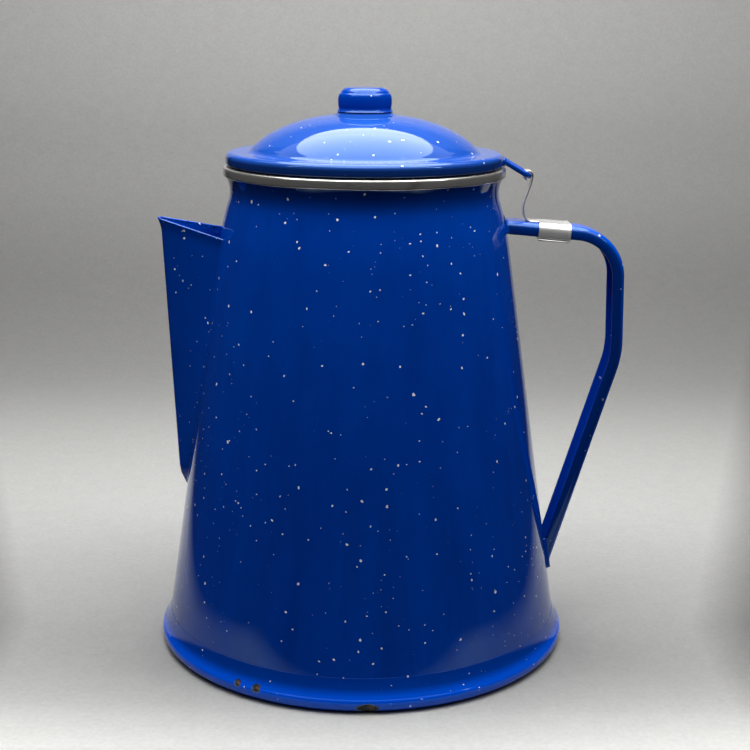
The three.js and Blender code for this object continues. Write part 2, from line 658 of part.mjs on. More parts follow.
// ---- Pump ----
function pumpFoot() {
  const footZ = PAN_FLOOR_Z + GAP;
  const collarR = TUBE_R + GAP;
  const [bellPullR, bellPullZ, bellR, bellZ] = FOOT_BELL;
  const [insideR, insideZ, insidePullR, insidePullZ] = FOOT_BELL_INSIDE;
  const path = new THREE.Path();
  path.moveTo(FOOT_R - FOOT_WALL, footZ);
  path.lineTo(FOOT_R, footZ);
  path.lineTo(FOOT_R, footZ + FOOT_RIM);
  path.quadraticCurveTo(bellPullR, bellPullZ, bellR, bellZ);
  path.quadraticCurveTo(...FOOT_THROAT, collarR + FOOT_WALL, FOOT_TOP_Z);
  path.lineTo(collarR, FOOT_TOP_Z);
  path.lineTo(collarR, FOOT_COLLAR_Z);
  path.quadraticCurveTo(FOOT_THROAT[0], FOOT_COLLAR_Z - 2 * FOOT_WALL, insideR, insideZ);
  path.quadraticCurveTo(insidePullR, insidePullZ, FOOT_R - FOOT_WALL, footZ + FOOT_WALL / 2);
  path.closePath();
  const notches = [];
  for (let i = 0; i < FOOT_NOTCHES; i++) {
    const notch = new THREE.BoxGeometry(NOTCH_LENGTH, NOTCH_WIDTH, 2 * NOTCH_HEIGHT);
    notch.translate(FOOT_R, 0, footZ);
    notch.rotateZ(((i + 0.5) * 2 * Math.PI) / FOOT_NOTCHES);
    notches.push(solidOf(notch));
  }
  return revolve(path, SMALL_SIDES).subtract(wasm.Manifold.union(notches));
}

// The cup under the tube, with the inlet hole that the valve disc drops onto.
function valveSeat() {
  const path = new THREE.Path();
  path.moveTo(INLET_R, SEAT_Z);
  path.lineTo(SEAT_R, SEAT_Z);
  path.lineTo(SEAT_R, SEAT_Z + SEAT_DEPTH);
  path.lineTo(SEAT_R - SHEET, SEAT_Z + SEAT_DEPTH);
  path.lineTo(SEAT_R - SHEET, SEAT_Z + SHEET);
  path.lineTo(INLET_R, SEAT_Z + SHEET);
  path.closePath();
  return revolve(path, SMALL_SIDES);
}

function valveDisc() {
  const bottomZ = SEAT_Z + SHEET + GAP;
  const path = new THREE.Path();
  path.moveTo(0, bottomZ);
  path.lineTo(VALVE_R, bottomZ);
  path.lineTo(VALVE_R, bottomZ + VALVE_THICK);
  path.lineTo(0, bottomZ + VALVE_THICK);
  return revolve(path, SMALL_SIDES);
}

// ---- Basket and spreader ----
// Rows of drill holes round the axis, each row an equal pitch along its circle.
function drillRings(rowRadii, holeR, pitch, bottomZ, topZ) {
  const drills = [];
  rowRadii.forEach((rowR, row) => {
    const count = Math.round((2 * Math.PI * rowR) / pitch);
    for (let i = 0; i < count; i++) {
      const angle = (2 * Math.PI * (i + (row % 2) / 2)) / count;
      const drill = new THREE.CylinderGeometry(holeR, holeR, topZ - bottomZ, DRILL_SIDES);
      drill.rotateX(Math.PI / 2);
      drill.translate(rowR * Math.cos(angle), rowR * Math.sin(angle), (bottomZ + topZ) / 2);
      drills.push(solidOf(drill));
    }
  });
  return wasm.Manifold.union(drills);
}

function coffeeBasket() {
  const topR = BASKET_R + BASKET_TAPER;
  const floorZ = BASKET_BOTTOM_Z + SHEET;
  const cornerZ = BASKET_BOTTOM_Z + BASKET_CORNER_R;
  const path = new THREE.Path();
  path.moveTo(SLEEVE_R + GAP, BASKET_BOTTOM_Z);
  path.lineTo(BASKET_R - BASKET_CORNER_R, BASKET_BOTTOM_Z);
  path.quadraticCurveTo(BASKET_R, BASKET_BOTTOM_Z, BASKET_R, cornerZ);
  path.lineTo(topR, BASKET_TOP_Z - BASKET_RIM);
  path.lineTo(topR + BASKET_RIM, BASKET_TOP_Z - BASKET_RIM);
  path.lineTo(topR + BASKET_RIM, BASKET_TOP_Z);
  path.lineTo(topR - SHEET, BASKET_TOP_Z);
  path.lineTo(BASKET_R - SHEET, cornerZ);
  path.quadraticCurveTo(BASKET_R - SHEET, floorZ, BASKET_R - BASKET_CORNER_R, floorZ);
  path.lineTo(SLEEVE_R + GAP, floorZ);
  path.closePath();
  const holes = drillRings(
    BASKET_HOLE_ROWS,
    BASKET_HOLE_R,
    BASKET_HOLE_PITCH,
    BASKET_BOTTOM_Z - SHEET,
    floorZ + SHEET,
  );
  return revolve(path, LARGE_SIDES).subtract(holes);
}

function basketSleeve() {
  const bottomZ = STOP_Z + STOP_THICK + GAP;
  return ring(SLEEVE_R - SHEET, SLEEVE_R, bottomZ, BASKET_TOP_Z - SLEEVE_DROP, SMALL_SIDES);
}

function basketLid() {
  const rimZ = BASKET_TOP_Z + GAP;
  const floorZ = rimZ - SPREADER_DEPTH;
  const stepR = SPREADER_R - SPREADER_RIM;
  const collarR = TUBE_R + 2 * GAP;
  const path = new THREE.Path();
  path.moveTo(collarR, floorZ);
  path.lineTo(stepR - SHEET / 2, floorZ);
  path.lineTo(stepR + SHEET, rimZ);
  path.lineTo(SPREADER_R, rimZ);
  path.lineTo(SPREADER_R, rimZ + SHEET);
  path.lineTo(stepR, rimZ + SHEET);
  path.lineTo(stepR - 1.5 * SHEET, floorZ + SHEET);
  path.lineTo(collarR + SHEET, floorZ + SHEET);
  path.lineTo(collarR + SHEET, rimZ + SPREADER_COLLAR);
  path.lineTo(collarR, rimZ + SPREADER_COLLAR);
  path.closePath();
  const holes = drillRings(
    SPREADER_HOLE_ROWS,
    SPREADER_HOLE_R,
    SPREADER_HOLE_PITCH,
    floorZ - SHEET,
    rimZ,
  );
  return revolve(path, LARGE_SIDES).subtract(holes);
}

// ---- Assembly ----
const percolator = new THREE.Group();

function place(name, solid, material) {
  const mesh = new THREE.Mesh(geometryOf(solid), material);
  mesh.name = name;
  percolator.add(mesh);
}

place("pot_shell", potShell().subtract(strainerHoles()), enamel);
place("base_pan", basePan(), enamel);
place("rim_band", rimBand(), stainless);
place("spout", spout(), enamel);
place("handle", handle(), enamel);
place("hinge_clip", hingeClip(), stainless);
place("lid_shell", lidShell(), enamel);
place("lid_skirt", lidSkirt(), enamel);
place("lid_knob", lidKnob(), enamel);
place("hinge_loop", hingeLoop(), enamel);
place("pump_tube", ring(TUBE_BORE_R, TUBE_R, TUBE_BOTTOM_Z, TUBE_TOP_Z, SMALL_SIDES), aluminium);
place("pump_foot", pumpFoot(), aluminium);
place("valve_seat", valveSeat(), aluminium);
place("valve_disc", valveDisc(), aluminium);
place("basket_stop", ring(TUBE_R + GAP, STOP_R, STOP_Z, STOP_Z + STOP_THICK, SMALL_SIDES), aluminium);
place("coffee_basket", coffeeBasket(), aluminium);
place("basket_sleeve", basketSleeve(), aluminium);
place("basket_lid", basketLid(), aluminium);

export default percolator;
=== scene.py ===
import json
import math

import bpy
from mathutils import Matrix, Vector, noise


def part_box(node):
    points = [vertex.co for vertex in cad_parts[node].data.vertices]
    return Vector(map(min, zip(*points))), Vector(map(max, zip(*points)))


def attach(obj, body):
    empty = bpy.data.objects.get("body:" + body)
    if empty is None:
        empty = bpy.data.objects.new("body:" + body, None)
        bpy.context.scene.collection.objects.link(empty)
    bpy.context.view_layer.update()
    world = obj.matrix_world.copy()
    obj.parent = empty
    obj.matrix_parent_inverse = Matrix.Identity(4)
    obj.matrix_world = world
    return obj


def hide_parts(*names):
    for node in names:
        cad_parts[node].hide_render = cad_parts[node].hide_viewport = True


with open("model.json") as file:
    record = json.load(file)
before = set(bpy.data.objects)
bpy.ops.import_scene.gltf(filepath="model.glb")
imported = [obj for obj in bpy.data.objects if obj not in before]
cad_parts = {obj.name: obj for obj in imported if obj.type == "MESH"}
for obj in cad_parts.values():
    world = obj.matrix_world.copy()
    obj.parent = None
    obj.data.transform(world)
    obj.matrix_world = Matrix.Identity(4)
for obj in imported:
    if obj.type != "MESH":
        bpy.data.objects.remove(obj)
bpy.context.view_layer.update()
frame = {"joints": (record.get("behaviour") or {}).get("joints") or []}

MM = 0.001


def box_mm(node):
    low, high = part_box(node)
    return low / MM, high / MM


def round_angles(count):
    return [2 * math.pi * i / count for i in range(count)]


# ---- Driving dimensions, in millimetres ----
shell_low, shell_high = box_mm("pot_shell")
pan_high = box_mm("base_pan")[1]
band_low, band_high = box_mm("rim_band")
lid_low, lid_high = box_mm("lid_shell")
knob_high = box_mm("lid_knob")[1]

SHELL_WALL = 1.2
FOOT_R = shell_high.x
FOOT_Z = shell_low.z
LIP_TOP_Z = shell_high.z
CONE_SLOPE = 0.1466
SHOULDER_Z = 174.0
THROAT_SLOPE = 0.31
THROAT_ANGLE = math.atan(THROAT_SLOPE)
NECK_R = 56.85
NECK_Z = 197.8
NECK_BEND_R = 13.0
NECK_CENTRE_R = NECK_R + NECK_BEND_R
THROAT_Z = NECK_Z - NECK_BEND_R * math.sin(THROAT_ANGLE)
LIP_R = 58.8
LIP_WALL = 1.45
LIP_HEIGHT = 2.2
LIP_ROUND = 0.7
FLARE_ANGLE = math.radians(33)
BEAD_R = pan_high.x
BEAD_TOP_Z = pan_high.z
BEAD_Z = 4.2
COVE_CORNER = (86.7, 9.5)
COVE_END = (88.9, 6.2)
PAN_FLAT_R = 82.0
PAN_FLOOR_Z = 1.3
BAND_R = band_high.x
BAND_WALL = 0.45
BAND_CLEARANCE = 0.3
BAND_INNER_R = LIP_R - LIP_WALL - BAND_CLEARANCE - BAND_WALL
BAND_SEAM = math.radians(-11)
BAND_SEAM_GAP = 0.009
BAND_WOBBLE = 0.20

LID_R = lid_high.x
LID_BOTTOM_Z = lid_low.z
LID_CROWN_Z = lid_high.z
LID_LEDGE_Z = 214.2
LID_LEDGE_R = 50.2
LID_CROWN_R = 10.9
LID_SHOULDER_R = 2.6
LID_WALL = 1.1
RIM_DARK_Z = 211.5
RIM_LIGHT_Z = 213.8
DOME_FOOT = (47.6, 215.4)
DOME_TOP = (14.6, 229.3)
DOME_PULLS = (44.4, 219.3, 34, 227.1)
KNOB_R = knob_high.x
KNOB_TOP_Z = knob_high.z
KNOB_WALL = 1
KNOB_BELLY = 3.1
KNOB_SHOULDER = 2.3
KNOB_SHOULDER_R = 10.3
KNOB_FLAT_R = 6.2
SKIRT_WALL = 0.8
SKIRT_FLANGE_R = 50.8

SPOUT_WALL = 1.2
SPOUT_TOP_Z = 185.8
SPOUT_REACH = 80.66
SPOUT_LEAN = 0.0505
SPOUT_RIM_SLOPE = 0.24
SPOUT_LOW_Z = 66.0
SPOUT_RUN_OUT = 9.0
SPOUT_CLOSE_Z = 118.0
SPOUT_CLOSE_POWER = 0.8
SPOUT_HALF_WIDTH = 21.0
SPOUT_NOSE_R = 4.5
SPOUT_NOSE_SHARE = 0.45
SPOUT_LIP = 1.7
SPOUT_LIP_HEIGHT = 6
SPOUT_SUNK = 0.5
SPOUT_BURIED = 4
SPOUT_SIDE_STEPS = 10
SPOUT_NOSE_STEPS = 12
SPOUT_RIM_STEPS = 8

HANDLE_WIDTH = 16.5
HANDLE_DEPTH = 5.5
HANDLE_WALL = 1.2
HANDLE_CORNER_R = 3.4
HANDLE_CORNERS = [
    (54, 186.7, 0),
    (110.8, 182.1, 22),
    (112.1, 128, 45),
    (82.1, 28, 0),
]

HINGE_X, HINGE_Z = (v / MM for v in (frame["joints"][0]["pos_m"][0], frame["joints"][0]["pos_m"][2]))
WIRE_R = 1.2
EYE_CLEARANCE = 0.4
CLIP_WALL = 0.6
TONGUE_WIDTH = 7.0
LOOP_HALF_WIDTH = 5.7
LOOP_START = (59.6, 210.4)
LOOP_BEND_R = 2.2
LOOP_BURIED = 0.9
WELD_R = 1.9
WELD_HEIGHT = 1.1
COLLAR_START_X = 73.9
COLLAR_LENGTH = 13.7
TONGUE_ROOT_X = 71.8
TONGUE_BOW = (67.5, 191.4)
TONGUE_PULL = 3.5
EYE_TURN = 1.38 * math.pi

TUBE_R = 4.75
SHEET = 0.8
ROUND = round_angles(288)
SMALL_ROUND = round_angles(96)
WIRE_ROUND = round_angles(20)


def body_radius(z):
    """Outer radius of the body at a height: the cone, the rounded shoulder, and the neck's bend."""
    if z > THROAT_Z:
        return NECK_CENTRE_R - math.sqrt(max(NECK_BEND_R**2 - (z - NECK_Z) ** 2, 0))
    above = max(z - SHOULDER_Z, 0)
    extra = (THROAT_SLOPE - CONE_SLOPE) / (2 * (THROAT_Z - SHOULDER_Z))
    return FOOT_R - CONE_SLOPE * (z - FOOT_Z) - extra * above**2


# ---- Outlines and meshes ----
class Outline:
    """A line of points made of straight runs, arcs and curves."""

    def __init__(self, x, y):
        self.points = [(x, y)]

    def line(self, x, y, step=1e6):
        x0, y0 = self.points[-1]
        count = max(1, round(math.hypot(x - x0, y - y0) / step))
        for i in range(1, count + 1):
            t = i / count
            self.points.append((x0 + (x - x0) * t, y0 + (y - y0) * t))
        return self

    def curve(self, cx, cy, x, y, steps=8):
        """A curve to (x, y) with one pull, which rounds the corner at (cx, cy)."""
        x0, y0 = self.points[-1]
        for i in range(1, steps + 1):
            t = i / steps
            a, b, c = (1 - t) ** 2, 2 * t * (1 - t), t * t
            self.points.append((a * x0 + b * cx + c * x, a * y0 + b * cy + c * y))
        return self

    def bezier(self, ax, ay, bx, by, x, y, steps):
        """A curve to (x, y) with two pulls."""
        x0, y0 = self.points[-1]
        for i in range(1, steps + 1):
            t = i / steps
            a, b, c, d = (1 - t) ** 3, 3 * t * (1 - t) ** 2, 3 * t * t * (1 - t), t**3
            self.points.append((a * x0 + b * ax + c * bx + d * x, a * y0 + b * ay + c * by + d * y))
        return self

    def arc(self, cx, cy, radius, start, end, steps):
        for i in range(steps + 1):
            angle = start + (end - start) * i / steps
            self.points.append((cx + radius * math.cos(angle), cy + radius * math.sin(angle)))
        return self


def bent_path(corners, steps):
    """A polyline of (x, y, bend radius) corners with each corner turned on its arc."""
    path = Outline(*corners[0][:2])
    for before, corner, after in zip(corners, corners[1:], corners[2:]):
        here = Vector(corner[:2])
        back = (Vector(before[:2]) - here).normalized()
        onward = (Vector(after[:2]) - here).normalized()
        half = back.angle(onward) / 2
        radius = corner[2]
        enter = here + back * (radius / math.tan(half))
        leave = here + onward * (radius / math.tan(half))
        centre = here + (back + onward).normalized() * (radius / math.sin(half))
        start = math.atan2(*(enter - centre).yx)
        end = math.atan2(*(leave - centre).yx)
        turn = (end - start + math.pi) % (2 * math.pi) - math.pi
        path.line(*enter, step=4)
        path.arc(*centre, radius, start, start + turn, steps)
    return path.line(*corners[-1][:2], step=4).points


def tidy(points):
    """The points without repeats."""
    kept = [points[0]]
    for p in points[1:]:
        if math.dist(p, kept[-1]) > 1e-4:
            kept.append(p)
    return kept


def revolve(profile, angles=ROUND, closed=True, whole_turn=True):
    """Points and faces of a profile in (radius, height), which runs up its outer side."""
    profile = tidy(profile)
    if closed and math.dist(profile[0], profile[-1]) < 1e-4:
        profile = profile[:-1]
    points, rows = [], []
    for radius, z in profile:
        if radius < 1e-6:
            rows.append([len(points)] * len(angles))
            points.append((0, 0, z))
        else:
            rows.append(list(range(len(points), len(points) + len(angles))))
            points += [(radius * math.cos(a), radius * math.sin(a), z) for a in angles]
    pairs = list(zip(rows, rows[1:]))
    if closed:
        pairs.append((rows[-1], rows[0]))
    count = len(angles)
    faces = []
    for low, high in pairs:
        for i in range(count if whole_turn else count - 1):
            j = (i + 1) % count
            face = list(dict.fromkeys([low[i], low[j], high[j], high[i]]))
            if len(face) > 2:
                faces.append(face)
    if not whole_turn:
        faces.append([row[0] for row in rows])
        faces.append([row[-1] for row in reversed(rows)])
    return points, faces


def loft(sections, caps=True):
    """Points and faces through closed sections that have the same number of points."""
    count = len(sections[0])
    points = [p for section in sections for p in section]
    faces = []
    for row in range(len(sections) - 1):
        low, high = row * count, (row + 1) * count
        for i in range(count):
            j = (i + 1) % count
            faces.append([low + i, low + j, high + j, high + i])
    if caps:
        faces.append(list(range(count))[::-1])
        faces.append([(len(sections) - 1) * count + i for i in range(count)])
    return points, faces


def joined(*parts):
    """Several (points, faces) as one."""
    points, faces = [], []
    for part_points, part_faces in parts:
        shift = len(points)
        points += part_points
        faces += [[i + shift for i in face] for face in part_faces]
    return points, faces


def turned_out(shape):
    """The same shape with its faces the other way round."""
    points, faces = shape
    return points, [face[::-1] for face in faces]


def linked(name, data):
    """A new object with this data, linked to the scene."""
    made = bpy.data.objects.new(name, data)
    bpy.context.scene.collection.objects.link(made)
    return made


def piece(name, shape, body, material, stands_for, sharp, paint=None):
    """Makes a mesh object of (points, faces) and puts it on a body. paint gives named values per point."""
    points, faces = shape
    mesh = bpy.data.meshes.new(name)
    mesh.from_pydata([Vector(p) * MM for p in points], [], faces)
    for label, value in (paint or {}).items():
        attribute = mesh.attributes.new(label, "FLOAT", "POINT")
        attribute.data.foreach_set("value", [value(Vector(p)) for p in points])
    mesh.validate()
    mesh.update()
    mesh.shade_smooth()
    mesh.set_sharp_from_angle(angle=math.radians(sharp))
    mesh.materials.append(material)
    made = linked(name, mesh)
    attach(made, body)
    if stands_for:
        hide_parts(*stands_for)
    return made


def cut(target, shape):
    """Cuts a closed shape out of a piece, for good."""
    mesh = bpy.data.meshes.new("cutter")
    mesh.from_pydata([Vector(p) * MM for p in shape[0]], [], shape[1])
    mesh.update()
    cutter = linked("cutter", mesh)
    modifier = target.modifiers.new("cut", "BOOLEAN")
    modifier.operation = "DIFFERENCE"
    modifier.solver = "EXACT"
    modifier.object = cutter
    bpy.context.view_layer.update()
    evaluated = target.evaluated_get(bpy.context.evaluated_depsgraph_get())
    result = bpy.data.meshes.new_from_object(evaluated)
    target.modifiers.clear()
    target.data = result
    result.set_sharp_from_angle(angle=math.radians(30))
    bpy.data.objects.remove(cutter)


def share_between(low, high, value):
    """How far a value is from low to high, held between 0 and 1."""
    return min(max((value - low) / (high - low), 0), 1)


def smooth_step(low, high, value):
    t = share_between(low, high, value)
    return t * t * (3 - 2 * t)


# ---- Materials ----
class Shader:
    """A material's node tree, with a call for each kind of node that is used here."""

    def __init__(self, name):
        self.material = bpy.data.materials.new(name)
        self.material.use_nodes = True
        self.tree = self.material.node_tree
        self.surface = self.tree.nodes["Principled BSDF"]
        self.place = self.add("ShaderNodeTexCoord").outputs["Object"]

    def add(self, kind, inputs=None, **settings):
        made = self.tree.nodes.new(kind)
        for key, value in settings.items():
            setattr(made, key, value)
        for key, value in (inputs or {}).items():
            self.feed(made.inputs[key], value)
        return made

    def feed(self, socket, value):
        if isinstance(value, bpy.types.NodeSocket):
            self.tree.links.new(value, socket)
        else:
            socket.default_value = value

    def value(self, operation, a, b=0.0, clamp=False):
        made = self.add("ShaderNodeMath", {0: a, 1: b}, operation=operation, use_clamp=clamp)
        return made.outputs[0]

    def vector(self, operation, a, b):
        return self.add("ShaderNodeVectorMath", {0: a, 1: b}, operation=operation).outputs[0]

    def noise(self, scale, detail=2.0, roughness=0.5, place=None, output="Fac"):
        inputs = {"Vector": place or self.place, "Scale": scale, "Detail": detail, "Roughness": roughness}
        return self.add("ShaderNodeTexNoise", inputs).outputs[output]

    def ramp(self, value, low, high, to_low=0.0, to_high=1.0):
        inputs = {"Value": value, "From Min": low, "From Max": high, "To Min": to_low, "To Max": to_high}
        return self.add("ShaderNodeMapRange", inputs, clamp=True).outputs[0]

    def mix(self, factor, a, b):
        made = self.add("ShaderNodeMix", {0: factor, 6: a, 7: b}, data_type="RGBA")
        return made.outputs[2]

    def height(self):
        return self.add("ShaderNodeSeparateXYZ", {0: self.place}).outputs[2]

    def attribute(self, name):
        return self.add("ShaderNodeAttribute", attribute_name=name).outputs["Fac"]

    def bump(self, height, distance, strength, normal=None):
        inputs = {"Height": height, "Distance": distance, "Strength": strength}
        if normal is not None:
            inputs["Normal"] = normal
        return self.add("ShaderNodeBump", inputs).outputs[0]

    def finish(self, **sockets):
        for name, value in sockets.items():
            self.feed(self.surface.inputs[name.replace("_", " ")], value)
        return self.material


FLECK_CELL = 0.0050
FLECK_R = 0.00055
FINE_CELL = 0.0032
FINE_R = 0.00033
FLECK_RAGGED = 0.0011
SMALLEST_SHARE = 0.02

COBALT = (0.0, 0.036, 0.33, 1)
COBALT_PALE = (0.0, 0.058, 0.43, 1)
COBALT_CLOUD = (0.0, 0.016, 0.17, 1)
# Painted shade colour: the dark blue mixed in where shade is painted on the body towards its foot and in
# the base bead's cove.
COBALT_SHADE = (0.0, 0.004, 0.06, 1)
FLECK_WHITE = (0.92, 0.97, 1.0, 1)
ENAMEL_SHEEN = (0.42, 0.68, 0.92, 1)


def specks(shader, cell, largest, warp):
    """White flecks: balls of random size strewn through space and cut by the surface."""
    place = shader.vector("ADD", shader.place, warp)
    cells = shader.add("ShaderNodeTexVoronoi", {"Vector": place, "Scale": 1 / cell})
    size = shader.add("ShaderNodeSeparateColor", {0: cells.outputs["Color"]}).outputs[0]
    inputs = {0: size, 1: largest / cell, 2: SMALLEST_SHARE}
    radius = shader.add("ShaderNodeMath", inputs, operation="MULTIPLY_ADD").outputs[0]
    inside = shader.value("SUBTRACT", radius, cells.outputs["Distance"])
    return shader.value("MULTIPLY", inside, 40.0, clamp=True)


def enamel_material(name, marks=None):
    """Fired cobalt enamel with white flecks. marks adds the colours of worn and chipped places, and painted
    light and shade.
    """
    shader = Shader(name)
    ripple = shader.vector("SUBTRACT", shader.noise(750, 1, output="Color"), (0.5, 0.5, 0.5))
    warp = shader.vector("MULTIPLY", ripple, (FLECK_RAGGED,) * 3)
    main = specks(shader, FLECK_CELL, FLECK_R, warp)
    small = specks(shader, FINE_CELL, FINE_R, warp)
    crowd = shader.ramp(shader.noise(28, 2), 0.46, 0.6)
    flecks = shader.value("MAXIMUM", main, shader.value("MULTIPLY", small, crowd))
    blue = shader.mix(shader.noise(14, 3, 0.6), COBALT, COBALT_PALE)
    clouds = shader.ramp(shader.noise(60, 4, 0.65), 0.35, 0.75, 0.0, 0.16)
    blue = shader.mix(clouds, blue, COBALT_CLOUD)
    colour = shader.mix(flecks, blue, FLECK_WHITE)
    scuffed = shader.ramp(shader.noise(240, 6, 0.72), 0.45, 0.8, 0.03, 0.11)
    orange_peel = shader.bump(shader.noise(60, 2, 0.4), 0.00022, 0.22)
    grain = shader.bump(shader.noise(900, 2, 0.5), 0.00001, 0.2, orange_peel)
    sockets = {"Base_Color": colour, "Roughness": scuffed, "Normal": grain, "IOR": 1.52}
    sockets["Specular_Tint"] = ENAMEL_SHEEN
    if marks:
        marks(shader, sockets)
    return shader.finish(**sockets)


def tint(shader, sockets, share, colour):
    sockets["Base_Color"] = shader.mix(share, sockets["Base_Color"], colour)


def shaded_towards_foot(shader, sockets):
    """Enamel darkened towards the foot as painted shade, with faint upright streaks."""
    # Painted shade: the enamel gets darker towards the foot.
    lower = shader.ramp(shader.height(), 0.17, 0.02, 0.0, 0.40)
    streaks = shader.noise(1.0, 3, 0.6, shader.vector("MULTIPLY", shader.place, (90, 90, 7)))
    runs = shader.ramp(streaks, 0.4, 0.7, -0.05, 0.10)
    deep = shader.value("MAXIMUM", shader.value("ADD", lower, runs), 0.0)
    tint(shader, sockets, deep, COBALT_SHADE)


def lid_sheen_and_rim_shade(shader, sockets):
    """The lid's enamel, lightened a little towards a pale green-blue as a painted sheen, with painted shade
    on its turned-down rim.
    """
    # Painted sheen: the whole lid lightened towards a pale green-blue.
    tint(shader, sockets, 0.10, (0.12, 0.30, 0.45, 1))
    # Painted shade: the turned-down rim darkened, fading out upwards towards RIM_LIGHT_Z.
    rim = shader.ramp(shader.height(), RIM_DARK_Z * MM, RIM_LIGHT_Z * MM, 0.6, 0.0)
    tint(shader, sockets, rim, (0.0, 0.004, 0.04, 1))


def worn_and_shaded_edge(shader, sockets):
    """Dark enamel where the attribute edge is set: under the spout's rim it is painted shade under the lip
    together with thin worn enamel, and on the loop's bar it is enamel rubbed thin.
    """
    ragged = shader.value("ADD", shader.attribute("edge"), shader.noise(700, 3, 0.6))
    tint(shader, sockets, shader.ramp(ragged, 1.05, 1.35), (0.004, 0.006, 0.016, 1))


def lit_top_shaded_sides(shader, sockets):
    """Painted light and shade on the handle: the whole strap lightened for its lit top face, and its sides
    darkened, set by the attribute side.
    """
    # Painted highlight: the strap lightened towards a vivid blue.
    tint(shader, sockets, 0.25, (0.0, 0.13, 0.90, 1))
    # Painted shade: the strap's sides darkened.
    tint(shader, sockets, shader.ramp(shader.attribute("side"), 0.0, 1.0, 0.0, 0.72), (0.0, 0.006, 0.05, 1))


def chipped(shader, sockets):
    """Bare iron in the chips, painted as the attribute chip: rust and black scale in a dull blue rim. The
    bead's enamel is painted lighter below and darker in its cove above, as painted light and shade.
    """
    # Painted shade in the cove from 10 mm up, and painted light on the bead's round below 7.2 mm.
    deep = shader.mix(0.40, sockets["Base_Color"], COBALT_SHADE)
    bright = shader.mix(0.33, sockets["Base_Color"], (0.0, 0.10, 0.90, 1))
    enamel = shader.mix(shader.ramp(shader.height(), 0.0100, 0.0072), deep, bright)
    depth = shader.attribute("chip")
    rim = shader.ramp(depth, 0.16, 0.26)
    bare = shader.ramp(depth, 0.42, 0.52)
    rust = shader.ramp(shader.noise(420, 5, 0.7), 0.46, 0.66)
    iron = shader.mix(rust, (0.012, 0.011, 0.012, 1), (0.13, 0.075, 0.045, 1))
    sockets["Base_Color"] = shader.mix(rim, enamel, (0.05, 0.09, 0.20, 1))
    tint(shader, sockets, bare, iron)
    sockets["Roughness"] = shader.mix(bare, sockets["Roughness"], (0.7, 0.7, 0.7, 1))


def steel_material(name, stains, metallic):
    """Bright rolled sheet with fine scratches and brown stains."""
    shader = Shader(name)
    stretched = shader.vector("MULTIPLY", shader.place, (90, 2600, 2600))
    grain = shader.noise(1.0, 4, 0.6, stretched)
    blotches = shader.noise(130, 4, 0.65)
    metal = shader.mix(grain, (0.56, 0.545, 0.52, 1), (0.75, 0.735, 0.71, 1))
    stained = shader.ramp(blotches, 0.62 - stains, 0.82 - stains)
    colour = shader.mix(stained, metal, (0.20, 0.165, 0.13, 1))
    oxide = shader.ramp(shader.attribute("oxide"), 0.2, 0.8)
    colour = shader.mix(oxide, colour, (0.012, 0.011, 0.010, 1))
    rough = shader.ramp(grain, 0.3, 0.7, 0.13, 0.24)
    scratch = shader.bump(grain, 0.00001, 0.25)
    waves = shader.bump(shader.noise(70, 2), 0.00016, 0.35, scratch)
    return shader.finish(Base_Color=colour, Roughness=rough, Normal=waves, Metallic=metallic)


def aluminium_material():
    """Spun and pressed sheet: rings round the axis, a dull skin and tea-brown staining."""
    shader = Shader("aluminium_satin")
    parts = shader.add("ShaderNodeSeparateXYZ", {0: shader.place}).outputs
    x_squared, y_squared = (shader.value("POWER", part, 2.0) for part in parts[:2])
    radius = shader.value("SQRT", shader.value("ADD", x_squared, y_squared))
    ringed = shader.add("ShaderNodeCombineXYZ", {0: radius, 1: parts[2]}).outputs[0]
    rings = shader.noise(2400, 3, 0.6, ringed)
    metal = shader.mix(rings, (0.66, 0.67, 0.68, 1), (0.82, 0.83, 0.84, 1))
    stain = shader.ramp(shader.noise(70, 5, 0.7), 0.48, 0.75, 0.0, 0.55)
    colour = shader.mix(stain, metal, (0.30, 0.22, 0.14, 1))
    rough = shader.ramp(shader.noise(180, 4, 0.6), 0.3, 0.7, 0.30, 0.46)
    turned = shader.bump(rings, 0.00003, 0.5)
    return shader.finish(Base_Color=colour, Roughness=rough, Normal=turned, Metallic=1.0)


ENAMEL = enamel_material("enamel_cobalt")
ENAMEL_SHADED_LOW = enamel_material("enamel_cobalt_shaded_low", shaded_towards_foot)
ENAMEL_LID = enamel_material("enamel_cobalt_lid", lid_sheen_and_rim_shade)
ENAMEL_EDGE_WORN_SHADED = enamel_material("enamel_cobalt_edge_worn_shaded", worn_and_shaded_edge)
ENAMEL_CHIPPED = enamel_material("enamel_cobalt_chipped", chipped)
ENAMEL_HANDLE_LIT_SHADED = enamel_material("enamel_cobalt_handle_lit_shaded", lit_top_shaded_sides)
BAND_STEEL = steel_material("band_steel", 0.03, 0.8)
CLIP_STEEL = steel_material("clip_steel", 0.02, 0.55)
ALUMINIUM = aluminium_material()


